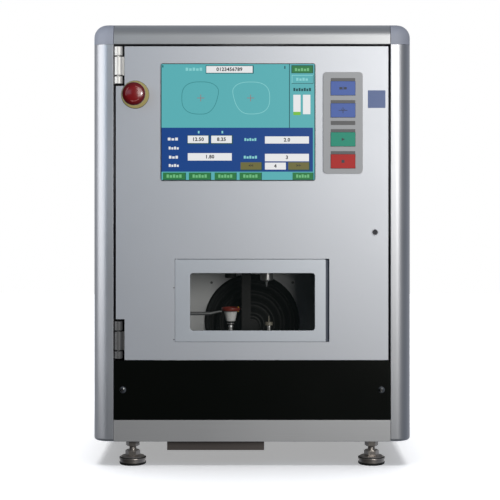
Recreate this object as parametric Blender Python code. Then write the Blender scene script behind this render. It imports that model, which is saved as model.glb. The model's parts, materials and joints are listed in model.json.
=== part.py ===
"""Lens drilling machine: a bench-top cabinet on four levelling feet. Its hinged front door carries a
display, keys, an emergency stop and a small window door, and the drilling mechanism is inside.

Metres, +Z up, the front towards -Y. The origin is on the ground under the middle of the machine."""

import math

import bmesh
import bpy
from mathutils import Matrix, Vector

# Clearances and steps shared by all pieces
SEAT_GAP = 0.0003
OVERRUN = 0.004
ARC_STEPS = 6
TURN_STEPS = 32
SMALL_TURN_STEPS = 20
SMOOTH_ANGLE = math.radians(35)

# Cabinet frame
BODY_WIDTH = 0.4344
BODY_DEPTH = 0.460
BODY_HEIGHT = 0.5695
BODY_LIFT = 0.0328
COLUMN_WIDTH = 0.0280
COLUMN_DEPTH = 0.0258
CORNER_RADIUS = 0.0175
COLUMN_FOOT_BEVEL = 0.004
TOP_BEAM_HEIGHT = 0.0272
BASE_BEAM_HEIGHT = 0.0294
BASE_FLOOR = 0.004
PANEL_RECESS = 0.0015
PANEL_SHEET = 0.002
REAR_FLANGE = 0.024

# Rear panel: vents and power inlet
VENT_COUNT = 12
VENT_WIDTH = 0.120
VENT_HEIGHT = 0.005
VENT_PITCH = 0.012
VENT_DROP = 0.090
INLET_WIDTH = 0.048
INLET_HEIGHT = 0.028
INLET_FLANGE = 0.004
INLET_BODY_WIDTH = 0.040
INLET_BODY_HEIGHT = 0.022
INLET_BODY_DEPTH = 0.030
INLET_WALL = 0.0025
INLET_SOCKET_DEPTH = 0.016
INLET_INSET = 0.060
INLET_RISE = 0.045
INLET_CORNER = 0.003

# Levelling feet
FOOT_INSET_X = 0.0532
FOOT_INSET_Y = 0.017
PAD_RADIUS = 0.0185
PAD_RIM_HEIGHT = 0.0055
PAD_SHOULDER_RADIUS = 0.0125
PAD_HEIGHT = 0.0112
HEX_RADIUS = 0.0092
HEX_HEIGHT = 0.0080
STUD_RADIUS = 0.005
STUD_RUN = 0.020
NUT_HEIGHT = 0.0078

# Lower front panel and its screws
LOWER_PANEL_HEIGHT = 0.0810
LOWER_PANEL_SIDE_GAP = 0.0008
SCREW_INSET = 0.0128
SCREW_RISE = 0.0410
SCREW_HEAD_RADIUS = 0.0045
SCREW_HEAD_HEIGHT = 0.0026
SCREW_SHANK_RADIUS = 0.0024
SCREW_SHANK_LENGTH = 0.010
SCREW_SOCKET_RADIUS = 0.0014
SCREW_SOCKET_DEPTH = 0.0012
SCREW_DOME_SHARE = 0.62

# Front door
DOOR_SIDE_GAP = 0.0034
DOOR_TOP_GAP = 0.0030
DOOR_FOOT_GAP = 0.0007
DOOR_RECESS = 0.001
DOOR_SHEET = 0.0015
DOOR_FLANGE = 0.014

# Door hinges
HINGE_RADIUS = 0.0059
HINGE_INSET = 0.0066
HINGE_SINK = 0.003
HINGE_LEAF = 0.002
HINGE_PIN_RADIUS = 0.0025
FRAME_LEAF_REACH = 0.028
DOOR_LEAF_REACH = 0.030
TOP_KNUCKLE = 0.0126
MIDDLE_KNUCKLE = 0.0253
LOWER_KNUCKLE = 0.0101
KNUCKLE_GAP = 0.0015
UPPER_HINGE_DROP = 0.0
LOWER_HINGE_RISE = 0.0017
NOTCH_SIDE_GAP = 0.0027
NOTCH_END_GAP = 0.0030

# Display unit
DISPLAY_HEIGHT = 0.1602
DISPLAY_LEFT = 0.0613
DISPLAY_DROP = 0.0232
DISPLAY_PROUD = 0.001
DISPLAY_LIP = 0.003
DISPLAY_DEPTH = 0.028
DISPLAY_CORNER = 0.003

# Key panel and its keys
KEY_PANEL_WIDTH = 0.0540
KEY_PANEL_HEIGHT = 0.1384
KEY_PANEL_GAP = 0.0105
KEY_PANEL_RIGHT = 0.0349
KEY_PANEL_DROP = 0.0351
KEY_PANEL_CORNER = 0.0048
KEY_PANEL_PLATE = 0.0015
KEY_PANEL_LIP = 0.005
KEY_PANEL_DEPTH = 0.016
KEY_WIDTH = 0.0334
KEY_HEIGHT = 0.0191
KEY_CORNER = 0.0010
KEY_DEPTH = 0.006
KEY_PROUD = 0.0012
KEY_TRAVEL = 0.001
KEY_DROPS = {
    "key_blue_upper": 0.0222,
    "key_blue_lower": 0.0523,
    "key_green": 0.0918,
    "key_red": 0.1218,
}

# Emergency stop
ESTOP_LEFT = 0.0263
ESTOP_DROP = 0.0659
ESTOP_RING_RADIUS = 0.0187
ESTOP_RING = 0.0025
ESTOP_BOSS_RADIUS = 0.0115
ESTOP_THREAD_RADIUS = 0.0108
ESTOP_THREAD_LENGTH = 0.012
ESTOP_BLOCK_RADIUS = 0.015
ESTOP_BLOCK_LENGTH = 0.026
ESTOP_STEM_RADIUS = 0.0075
ESTOP_STEM_REAR = 0.016
ESTOP_TRAVEL = 0.004
ESTOP_HEAD_RADIUS = 0.0152
ESTOP_HEAD_BASE_RADIUS = 0.0125
ESTOP_HEAD_BASE = 0.0165
ESTOP_HEAD_WIDE = 0.0205
ESTOP_HEAD_BROW = 0.0255
ESTOP_HEIGHT = 0.0315
ESTOP_HEAD_SOCKET = 0.004
ESTOP_STEM_TIP_RADIUS = 0.005

# Cam lock and its keeper
LOCK_RIGHT = 0.0181
LOCK_DROP = 0.2536
LOCK_RADIUS = 0.0038
LOCK_COLLAR_RADIUS = 0.006
LOCK_KEYHOLE_WIDTH = 0.0016
LOCK_KEYHOLE_LENGTH = 0.0050
LOCK_KEYHOLE_DEPTH = 0.003
CAM_WIDTH = 0.008
CAM_LENGTH = 0.0185
CAM_SHEET = 0.002
CAM_GAP = 0.0006
KEEPER_REACH = 0.0128
KEEPER_HEIGHT = 0.016
KEEPER_SHEET = 0.0018
KEEPER_FOOT = 0.018
KEEPER_STOP_GAP = 0.0005

# Window door and its pane
WINDOW_WIDTH = 0.2109
WINDOW_HEIGHT = 0.1137
WINDOW_RISE = 0.0245
WINDOW_LIP = 0.008
WINDOW_SIDE_GAP = 0.0006
WINDOW_TOP_GAP = 0.0023
WINDOW_FOOT_GAP = 0.0006
FINGER_GAP = 0.0050
WINDOW_PLATE = 0.003
WINDOW_PIN_RADIUS = 0.001
WINDOW_PIN_REACH = 0.0016
PANE_LEFT = 0.0202
PANE_RIGHT = 0.0149
PANE_DROP = 0.0175
PANE_RISE = 0.0149
PANE_CORNER = 0.004
PANE_MARGIN = 0.006
PANE_SHEET = 0.002

# Drilling chamber
CHAMBER_WIDTH = 0.270
CHAMBER_HEIGHT = 0.230
CHAMBER_FLOOR_RISE = 0.0672
CHAMBER_FRONT = 0.022
CHAMBER_BACK = 0.150
CHAMBER_SHEET = 0.002
CHAMBER_FLANGE = 0.012
CHIP_HOLE_WIDTH = 0.070
CHIP_HOLE_DEPTH = 0.070
CHIP_HOLE_LEFT = 0.061
CHIP_HOLE_BACK = 0.040

# Bellows
BELLOWS_RADIUS = 0.0695
BELLOWS_MOUTH = 0.060
BELLOWS_LENGTH = 0.050
BELLOWS_PLEATS = 4
PLEAT_DEPTH = 0.0075
BELLOWS_WALL = 0.0014
BELLOWS_STEPS = 40

# Lens arm on its slide stage
ARM_RISE = 0.082
SHANK_RADIUS = 0.010
SHANK_FRONT = 0.085
ARM_X = -0.0083
ARM_WIDTH = 0.0129
ARM_FRONT = 0.080
ARM_THICKNESS = 0.012
ARM_TOP_RISE = 0.178
ARM_FOOT_RISE = 0.058
BRACKET_HEIGHT = 0.010
BRACKET_WIDTH = 0.018
CARRIAGE_WIDTH = 0.050
CARRIAGE_HEIGHT = 0.028
CARRIAGE_DEPTH = 0.040
CARRIAGE_FRONT = 0.160
STAGE_WIDTH = 0.150
STAGE_DEPTH = 0.046

# Lens holder and clamp
HOLDER_X = -0.0300
HOLDER_SHAFT_RADIUS = 0.0023
HOLDER_SHAFT_DROP = 0.008
HOLDER_COLLAR_RADIUS = 0.005
HOLDER_COLLAR = 0.003
HOLDER_CLIP_RISE = 0.0832
HOLDER_CLIP = 0.0056
HOLDER_CLIP_RADIUS = 0.0045
CONE_FOOT_RADIUS = 0.0065
CONE_TOP_RADIUS = 0.0094
CONE_HEIGHT = 0.0140
RIM_RADIUS = 0.0132
RIM_HEIGHT = 0.0078
RIM_DISH_RADIUS = 0.0105
RIM_DISH = 0.003
CLAMP_PAD_RISE = 0.1523
CLAMP_PAD_RADIUS = 0.0081
CLAMP_PAD_HEIGHT = 0.008
CLAMP_SHAFT_RADIUS = 0.004
CLAMP_SHAFT_TOP_RISE = 0.215

# Drill head on its feed stage
DRILL_X = 0.0205
STYLUS_X = 0.0235
DRILL_DEPTH = 0.060
HEAD_RADIUS = 0.014
HEAD_FOOT_RISE = 0.170
HEAD_LENGTH = 0.175
SPINDLE_RADIUS = 0.0093
SPINDLE_FOOT_RISE = 0.1472
SPINDLE_TAPER = 0.005
SPINDLE_NOSE_RADIUS = 0.0035
SPINDLE_SHAFT_RADIUS = 0.005
SPINDLE_SHAFT_LENGTH = 0.040
BIT_RADIUS = 0.0009
BIT_LENGTH = 0.0077
BIT_TIP_RADIUS = 0.0004
FEED_BLOCK_WIDTH = 0.048
FEED_BLOCK_DEPTH = 0.044
FEED_BLOCK_HEIGHT = 0.080
FEED_PLATE_WIDTH = 0.080
FEED_PLATE_DEPTH = 0.100
FEED_PLATE = 0.008
FEED_MOTOR_SIDE = 0.040
FEED_MOTOR_HEIGHT = 0.060
HEAD_HOLE_GAP = 0.0015

# Stylus under the drill
STYLUS_TIP_RISE = 0.0987
NEEDLE_LENGTH = 0.0085
NEEDLE_RADIUS = 0.0009
NEEDLE_TIP_RADIUS = 0.0004
STYLUS_FLANGE_RADIUS = 0.007
STYLUS_FLANGE = 0.0062
STYLUS_SHAFT_RADIUS = 0.0028
STYLUS_SHAFT_DROP = 0.010
STYLUS_GUIDE_RADIUS = 0.008
STYLUS_GUIDE_HEIGHT = 0.045

# Steel tube from the left wall
TUBE_RADIUS = 0.0024
TUBE_RISE = 0.1020
TUBE_BEND_RISE = 0.0030
TUBE_TIP_GAP = 0.0028
TUBE_BEND_RUN = 0.016
TUBE_STEPS = 8
TUBE_RESOLUTION = 2

# Chip tray under the base
TRAY_LEFT = -0.1165
TRAY_WIDTH = 0.1330
TRAY_DEPTH = 0.170
TRAY_FRONT = 0.010
TRAY_HEIGHT = 0.0129
TRAY_WALL = 0.0015
TRAY_FLANGE = 0.004
RAIL_SHEET = 0.0015
RAIL_LIP = 0.003

# Power supply
SUPPLY_WIDTH = 0.110
SUPPLY_HEIGHT = 0.055
SUPPLY_INSET = 0.0392
SUPPLY_FRONT = 0.250
SUPPLY_REAR = 0.050

# Places worked out from the sizes above
side = BODY_WIDTH / 2
inner_side = side - COLUMN_WIDTH
body_bottom = BODY_LIFT
body_top = BODY_LIFT + BODY_HEIGHT
top_beam_bottom = body_top - TOP_BEAM_HEIGHT
base_beam_top = body_bottom + BASE_BEAM_HEIGHT
front_reach = ESTOP_HEIGHT + SEAT_GAP - DOOR_RECESS
rear_reach = INLET_FLANGE + SEAT_GAP - PANEL_RECESS
front = (front_reach - rear_reach - BODY_DEPTH) / 2
rear = front + BODY_DEPTH
column_back = front + COLUMN_DEPTH
rear_column_front = rear - COLUMN_DEPTH
door_front = front + DOOR_RECESS
door_back = door_front + DOOR_SHEET
door_left = DOOR_SIDE_GAP - inner_side
door_right = inner_side - DOOR_SIDE_GAP
door_top = top_beam_bottom - DOOR_TOP_GAP
lower_panel_bottom = base_beam_top + SEAT_GAP
lower_panel_top = lower_panel_bottom + LOWER_PANEL_HEIGHT
door_bottom = lower_panel_top + DOOR_FOOT_GAP
floor_top = body_bottom + BASE_FLOOR
chamber_floor = body_bottom + CHAMBER_FLOOR_RISE
chamber_top = chamber_floor + CHAMBER_HEIGHT
chamber_back = front + CHAMBER_BACK
arm_z = chamber_floor + ARM_RISE
drill_y = front + DRILL_DEPTH
hinge_x = HINGE_INSET - inner_side
hinge_y = door_front + HINGE_SINK
window_left = -WINDOW_WIDTH / 2
window_right = WINDOW_WIDTH / 2
window_bottom = door_bottom + WINDOW_RISE
window_top = window_bottom + WINDOW_HEIGHT
window_axis_x = window_left + WINDOW_SIDE_GAP + WINDOW_PLATE / 2
window_axis_y = door_front + WINDOW_PLATE / 2
key_panel_right = door_right - KEY_PANEL_RIGHT
key_panel_left = key_panel_right - KEY_PANEL_WIDTH
key_panel_top = door_top - KEY_PANEL_DROP
key_panel_bottom = key_panel_top - KEY_PANEL_HEIGHT
display_left = door_left + DISPLAY_LEFT
display_right = key_panel_left - KEY_PANEL_GAP
display_top = door_top - DISPLAY_DROP
display_bottom = display_top - DISPLAY_HEIGHT
estop_place = (door_left + ESTOP_LEFT, door_front, door_top - ESTOP_DROP)
lock_place = (door_right - LOCK_RIGHT, door_front, door_top - LOCK_DROP)


def clear_scene():
    for obj in list(bpy.data.objects):
        bpy.data.objects.remove(obj, do_unlink=True)


def finish(name, colour, roughness, metallic=0.0, alpha=1.0):
    material = bpy.data.materials.new(name)
    material.use_nodes = True
    shader = material.node_tree.nodes["Principled BSDF"]
    shader.inputs["Base Color"].default_value = (*colour, 1)
    shader.inputs["Roughness"].default_value = roughness
    shader.inputs["Metallic"].default_value = metallic
    shader.inputs["Alpha"].default_value = alpha
    return material


def placed(name, shape, material=None, smooth=False):
    """A new object from a bmesh, its faces turned outwards. Without a material it is a cutter
    or a joined shape."""
    bmesh.ops.recalc_face_normals(shape, faces=shape.faces)
    mesh = bpy.data.meshes.new(name)
    shape.to_mesh(mesh)
    shape.free()
    if smooth:
        mesh.shade_smooth()
        mesh.set_sharp_from_angle(angle=SMOOTH_ANGLE)
    obj = bpy.data.objects.new(name, mesh)
    bpy.context.scene.collection.objects.link(obj)
    if material:
        mesh.materials.append(material)
    else:
        obj.hide_render = True
        obj.display_type = "WIRE"
    return obj


def block(name, low, high, material=None):
    """A box between two corners."""
    shape = bmesh.new()
    low, high = Vector(low), Vector(high)
    bmesh.ops.create_cube(shape, size=1)
    size = high - low
    bmesh.ops.scale(shape, vec=size, verts=shape.verts)
    bmesh.ops.translate(shape, vec=(low + high) / 2, verts=shape.verts)
    return placed(name, shape, material)


# Where an outline's two coordinates and the length it is drawn along go, for each axis
PLANES = {
    "X": lambda a, b, along: (along, a, b),
    "Y": lambda a, b, along: (a, along, b),
    "Z": lambda a, b, along: (a, b, along),
}


def prism(name, outline, axis, start, end, material=None, smooth=False):
    """An outline drawn out along an axis, from start to end."""
    shape = bmesh.new()
    point = PLANES[axis]
    verts = [shape.verts.new(point(a, b, start)) for a, b in outline]
    face = shape.faces.new(verts)
    drawn = bmesh.ops.extrude_face_region(shape, geom=[face])
    moved = [item for item in drawn["geom"] if isinstance(item, bmesh.types.BMVert)]
    bmesh.ops.translate(shape, vec=point(0, 0, end - start), verts=moved)
    return placed(name, shape, material, smooth)


def turned(name, profile, centre, axis, material=None, hollow=False, steps=TURN_STEPS, smooth=True):
    """A profile of (radius, height along the axis) pairs, turned about the axis through centre.
    A hollow profile closes on itself, and any other begins and ends on the axis."""
    shape = bmesh.new()
    point = PLANES[axis]
    across = {"X": (centre[1], centre[2]), "Y": (centre[0], centre[2]), "Z": (centre[0], centre[1])}[axis]
    rings = []
    for radius, along in profile:
        if radius == 0:
            rings.append([shape.verts.new(point(*across, along))])
            continue
        turns = [math.tau * step / steps for step in range(steps)]
        rings.append(
            [
                shape.verts.new(
                    point(across[0] + radius * math.cos(t), across[1] + radius * math.sin(t), along)
                )
                for t in turns
            ]
        )
    pairs = list(zip(rings, rings[1:] + rings[:1] if hollow else rings[1:]))
    for first, second in pairs:
        for step in range(steps):
            corners = [
                first[step % len(first)],
                first[(step + 1) % len(first)],
                second[(step + 1) % len(second)],
                second[step % len(second)],
            ]
            shape.faces.new(list(dict.fromkeys(corners)))
    if not hollow:
        for end in (rings[0], rings[-1]):
            if len(end) > 1:
                shape.faces.new(end)
    return placed(name, shape, material, smooth)


def cylinder(name, radius, centre, axis, start, end, material=None, steps=TURN_STEPS):
    return turned(name, [(radius, start), (radius, end)], centre, axis, material, steps=steps)


def rounded(low, high, radius, steps=ARC_STEPS):
    """Outline of a rectangle between two corners, with round corners."""
    corners = [
        (high[0] - radius, high[1] - radius, 0),
        (low[0] + radius, high[1] - radius, 1),
        (low[0] + radius, low[1] + radius, 2),
        (high[0] - radius, low[1] + radius, 3),
    ]
    points = []
    for a, b, quarter in corners:
        for step in range(steps + 1):
            turn = math.pi / 2 * (quarter + step / steps)
            points.append((a + radius * math.cos(turn), b + radius * math.sin(turn)))
    return points


def hexagon(centre, radius):
    turns = [math.tau * step / 6 for step in range(6)]
    return [(centre[0] + radius * math.cos(t), centre[1] + radius * math.sin(t)) for t in turns]


def boolean(target, tool, operation):
    change = target.modifiers.new(tool.name, "BOOLEAN")
    change.operation = operation
    change.solver = "EXACT"
    change.object = tool


def cut(target, *tools):
    for tool in tools:
        boolean(target, tool, "DIFFERENCE")


def join(target, *tools):
    for tool in tools:
        boolean(target, tool, "UNION")


def pivot(name, place):
    """An empty on a joint's axis, which carries what moves with the joint."""
    empty = bpy.data.objects.new(name, None)
    empty.location = place
    bpy.context.scene.collection.objects.link(empty)
    return empty


def hang(parent, *children):
    """Parents the children where they are."""
    bpy.context.view_layer.update()
    for child in children:
        child.parent = parent
        child.matrix_parent_inverse = parent.matrix_world.inverted()


def corner_outline(inner_x, outer_x, inner_y, outer_y):
    """Square section whose outermost edge is round. Each pair gives the inner and outer face."""
    sign_x = math.copysign(1, outer_x - inner_x)
    sign_y = math.copysign(1, outer_y - inner_y)
    centre = (outer_x - sign_x * CORNER_RADIUS, outer_y - sign_y * CORNER_RADIUS)
    points = [(inner_x, inner_y), (outer_x, inner_y)]
    for step in range(ARC_STEPS + 1):
        turn = math.pi / 2 * step / ARC_STEPS
        points.append(
            (
                centre[0] + sign_x * CORNER_RADIUS * math.cos(turn),
                centre[1] + sign_y * CORNER_RADIUS * math.sin(turn),
            )
        )
    points.append((inner_x, outer_y))
    return points


def frame_pieces(aluminium, cap_plastic):
    """Four columns, their corner caps and the three beams between the caps."""
    for row, outer_y, inner_y in (("front", front, column_back), ("rear", rear, rear_column_front)):
        for hand, sign in (("left", -1), ("right", 1)):
            outline = corner_outline(sign * inner_side, sign * side, inner_y, outer_y)
            column_top = top_beam_bottom - SEAT_GAP
            column = prism(
                f"column_{row}_{hand}", outline, "Z", body_bottom, column_top, aluminium, smooth=True
            )
            round_foot(column, sign, outer_y)
            corner_cap(f"corner_cap_{row}_{hand}", sign, inner_y, outer_y, cap_plastic)

    beam_end = inner_side - SEAT_GAP
    top_section = corner_outline(column_back, front, top_beam_bottom, body_top)
    prism("top_beam_front", top_section, "X", -beam_end, beam_end, aluminium, smooth=True)
    for hand, sign in (("left", -1), ("right", 1)):
        section = corner_outline(sign * inner_side, sign * side, top_beam_bottom, body_top)
        beam_front = column_back + SEAT_GAP
        beam_back = rear_column_front - SEAT_GAP
        prism(f"top_beam_{hand}", section, "Y", beam_front, beam_back, aluminium, smooth=True)


def round_foot(column, sign, outer_y):
    """Bevels the column's lower outer edges."""
    shape = bmesh.new()
    shape.from_mesh(column.data)
    near = SEAT_GAP

    def outside(edge):
        low = all(abs(v.co.z - body_bottom) < near for v in edge.verts)
        inner_x = all(abs(v.co.x - sign * inner_side) < near for v in edge.verts)
        inner_face = all(abs(abs(v.co.y - outer_y) - COLUMN_DEPTH) < near for v in edge.verts)
        return low and not inner_x and not inner_face

    edges = [edge for edge in shape.edges if outside(edge)]
    bmesh.ops.bevel(shape, geom=edges, offset=COLUMN_FOOT_BEVEL, segments=3, profile=0.5, affect="EDGES")
    bmesh.ops.recalc_face_normals(shape, faces=shape.faces)
    shape.to_mesh(column.data)
    shape.free()
    column.data.shade_smooth()
    column.data.set_sharp_from_angle(angle=SMOOTH_ANGLE)


def corner_cap(name, sign, inner_y, outer_y, material):
    """A cap whose upper outer edges are as round as its upright one, so that its corner is part
    of a sphere."""
    outward_y = math.copysign(1, outer_y - inner_y)
    centre_x = sign * (side - CORNER_RADIUS)
    centre_y = outer_y - outward_y * CORNER_RADIUS
    turns = [math.pi / 2 * step / ARC_STEPS for step in range(ARC_STEPS + 1)]
    layers = [(CORNER_RADIUS, top_beam_bottom)]
    layers += [
        (CORNER_RADIUS * math.cos(turn), body_top + CORNER_RADIUS * (math.sin(turn) - 1)) for turn in turns
    ]
    shape = bmesh.new()
    rings = []
    for radius, height in layers:
        ring = [(sign * inner_side, inner_y), (centre_x + sign * radius, inner_y)]
        for turn in turns:
            across = centre_x + sign * radius * math.cos(turn)
            ring.append((across, centre_y + outward_y * radius * math.sin(turn)))
        ring.append((sign * inner_side, centre_y + outward_y * radius))
        rings.append([shape.verts.new((x, y, height)) for x, y in ring])
    count = len(rings[0])
    for first, second in zip(rings, rings[1:]):
        for step in range(count):
            after = (step + 1) % count
            shape.faces.new((first[step], first[after], second[after], second[step]))
    shape.faces.new(rings[0])
    shape.faces.new(rings[-1])
    bmesh.ops.remove_doubles(shape, verts=shape.verts, dist=SEAT_GAP / 10)
    bmesh.ops.dissolve_degenerate(shape, edges=shape.edges, dist=SEAT_GAP / 10)
    return placed(name, shape, material, smooth=True)


def base(aluminium, steel):
    """The front beam, and the pan that closes the base: side rails, rear beam, floor and tray rails."""
    beam_end = inner_side - SEAT_GAP
    low = (-beam_end, door_front, body_bottom)
    high = (beam_end, column_back - SEAT_GAP, base_beam_top)
    beam = block("base_beam_front", low, high, aluminium)
    pan_front = column_back + SEAT_GAP
    pan_back = rear - PANEL_RECESS
    pan = block(
        "base_pan", (-beam_end, pan_front, body_bottom), (beam_end, pan_back, floor_top), steel
    )
    rail_low, rail_high = inner_side - OVERRUN, side - PANEL_RECESS
    rail_back = rear_column_front - SEAT_GAP
    for sign in (-1, 1):
        x_low, x_high = sorted((sign * rail_low, sign * rail_high))
        rail = block("rail", (x_low, pan_front, body_bottom), (x_high, rail_back, base_beam_top))
        join(pan, rail)
    rear_low = (-beam_end, rear_column_front, body_bottom)
    join(pan, block("rear_beam", rear_low, (beam_end, pan_back, base_beam_top)))
    join(pan, *tray_rails())
    hole_left = CHIP_HOLE_WIDTH - CHIP_HOLE_LEFT
    hole_low = (-CHIP_HOLE_LEFT, front + CHIP_HOLE_BACK, body_bottom - OVERRUN)
    hole_high = (hole_left, front + CHIP_HOLE_BACK + CHIP_HOLE_DEPTH, floor_top + OVERRUN)
    cut(pan, block("chip_hole", hole_low, hole_high))
    return beam, pan


def tray_rails():
    """Two angle rails under the floor, which hold the tray by its flanges."""
    rails = []
    rail_bottom = body_bottom - SEAT_GAP - TRAY_WALL - SEAT_GAP - RAIL_SHEET
    back = front + TRAY_FRONT + TRAY_DEPTH
    rail_front = column_back + SEAT_GAP
    tray_right = TRAY_LEFT + TRAY_WIDTH
    for edge, outward in ((TRAY_LEFT, -1), (tray_right, 1)):
        wall = sorted((edge + outward * SEAT_GAP, edge + outward * (SEAT_GAP + RAIL_SHEET)))
        wall_top = body_bottom + RAIL_SHEET
        rails.append(
            block("rail_wall", (wall[0], rail_front, rail_bottom), (wall[1], back, wall_top))
        )
        inner = edge - outward * RAIL_LIP
        lip = sorted((edge + outward * (SEAT_GAP + RAIL_SHEET / 2), inner))
        lip_top = rail_bottom + RAIL_SHEET
        rails.append(block("rail_lip", (lip[0], rail_front, rail_bottom), (lip[1], back, lip_top)))
    return rails


def chip_tray(steel):
    """Sheet tray that slides out to the front under the base."""
    top = body_bottom - SEAT_GAP
    tray_front = front + TRAY_FRONT
    tray_back = tray_front + TRAY_DEPTH
    tray_right = TRAY_LEFT + TRAY_WIDTH
    bottom = top - TRAY_HEIGHT
    body_low = (TRAY_LEFT + TRAY_FLANGE, tray_front, bottom)
    body_high = (tray_right - TRAY_FLANGE, tray_back, top)
    tray = block("chip_tray", body_low, body_high, steel)
    join(tray, block("flanges", (TRAY_LEFT, tray_front, top - TRAY_WALL), (tray_right, tray_back, top)))
    join(tray, block("face", (TRAY_LEFT, tray_front, bottom), (tray_right, tray_front + TRAY_WALL, top)))
    inside_low = [value + TRAY_WALL for value in body_low]
    inside_high = (body_high[0] - TRAY_WALL, body_high[1] - TRAY_WALL, top + OVERRUN)
    cut(tray, block("tray_inside", inside_low, inside_high))
    return tray


def panels(paint, black, steel):
    """Side, top, rear and lower front panels."""
    low_z, high_z = base_beam_top + SEAT_GAP, top_beam_bottom - SEAT_GAP
    panel_front, panel_back = column_back + SEAT_GAP, rear_column_front - SEAT_GAP
    outer = side - PANEL_RECESS
    for hand, sign in (("left", -1), ("right", 1)):
        across = sorted((sign * outer, sign * (outer - PANEL_SHEET)))
        block(f"side_panel_{hand}", (across[0], panel_front, low_z), (across[1], panel_back, high_z), paint)

    reach = inner_side - SEAT_GAP
    rear_low = (-reach, rear - PANEL_RECESS - PANEL_SHEET, low_z)
    rear_high = (reach, rear - PANEL_RECESS, body_top - PANEL_RECESS)
    rear_panel = block("rear_panel", rear_low, rear_high, paint)
    flange_low = (-reach, rear - REAR_FLANGE, rear_high[2] - PANEL_SHEET)
    join(rear_panel, block("top_flange", flange_low, (reach, rear_low[1] + PANEL_SHEET / 2, rear_high[2])))
    vent_back, vent_front = rear_high[1] + OVERRUN, rear_low[1] - OVERRUN
    for step in range(VENT_COUNT):
        vent_z = body_top - VENT_DROP - step * VENT_PITCH
        vent_low = (-VENT_WIDTH / 2, vent_front, vent_z - VENT_HEIGHT)
        cut(rear_panel, block("vent", vent_low, (VENT_WIDTH / 2, vent_back, vent_z)))
    cut(rear_panel, inlet_hole(vent_front, vent_back))

    top_low = (-reach, column_back + SEAT_GAP, rear_high[2] - PANEL_SHEET)
    block("top_panel", top_low, (reach, rear - REAR_FLANGE - SEAT_GAP, rear_high[2]), paint)

    lower_reach = inner_side - LOWER_PANEL_SIDE_GAP
    lower_low = (-lower_reach, door_front, lower_panel_bottom)
    lower_high = (lower_reach, door_front + PANEL_SHEET, lower_panel_top)
    lower = block("lower_front_panel", lower_low, lower_high, black)
    screw_z = lower_panel_bottom + SCREW_RISE
    for hand, sign in (("left", -1), ("right", 1)):
        screw_x = sign * (inner_side - SCREW_INSET)
        hole_back = door_front + PANEL_SHEET + OVERRUN
        hole_radius = SCREW_SHANK_RADIUS + SEAT_GAP
        place = (screw_x, 0, screw_z)
        cut(lower, cylinder("screw_hole", hole_radius, place, "Y", door_front - OVERRUN, hole_back, steps=16))
        button_screw(f"panel_screw_{hand}", place, steel)


def button_screw(name, place, steel):
    """Button-head screw with a round-bottomed socket."""
    seat = door_front - SEAT_GAP
    crown = seat - SCREW_HEAD_HEIGHT
    shank_end = seat + SCREW_SHANK_LENGTH
    profile = [
        (0, crown + SCREW_SOCKET_DEPTH),
        (SCREW_SOCKET_RADIUS, crown + SCREW_SOCKET_DEPTH),
        (SCREW_SOCKET_RADIUS, crown),
        (SCREW_HEAD_RADIUS * SCREW_DOME_SHARE, crown),
        (SCREW_HEAD_RADIUS, crown + SCREW_HEAD_HEIGHT * SCREW_DOME_SHARE),
        (SCREW_HEAD_RADIUS, seat),
        (SCREW_SHANK_RADIUS, seat),
        (SCREW_SHANK_RADIUS, shank_end),
        (0, shank_end),
    ]
    return turned(name, profile, place, "Y", steel, steps=16)


def inlet_centre():
    return (inner_side - INLET_INSET, base_beam_top + INLET_RISE)


def inlet_outline(width, height):
    x, z = inlet_centre()
    return rounded((x - width / 2, z - height / 2), (x + width / 2, z + height / 2), INLET_CORNER, 3)


def inlet_hole(start, end):
    gap = 2 * SEAT_GAP
    outline = inlet_outline(INLET_BODY_WIDTH + gap, INLET_BODY_HEIGHT + gap)
    return prism("inlet_hole", outline, "Y", start, end)


def power_inlet(plastic):
    """Flanged socket for the power lead, in the rear panel."""
    seat = rear - PANEL_RECESS + SEAT_GAP
    outer = seat + INLET_FLANGE
    inlet = prism("power_inlet", inlet_outline(INLET_WIDTH, INLET_HEIGHT), "Y", seat, outer, plastic)
    body = inlet_outline(INLET_BODY_WIDTH, INLET_BODY_HEIGHT)
    join(inlet, prism("inlet_body", body, "Y", seat - INLET_BODY_DEPTH, seat + INLET_FLANGE / 2))
    wall = 2 * INLET_WALL
    socket = inlet_outline(INLET_BODY_WIDTH - wall, INLET_BODY_HEIGHT - wall)
    cut(inlet, prism("socket", socket, "Y", outer - INLET_SOCKET_DEPTH, outer + OVERRUN))


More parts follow.
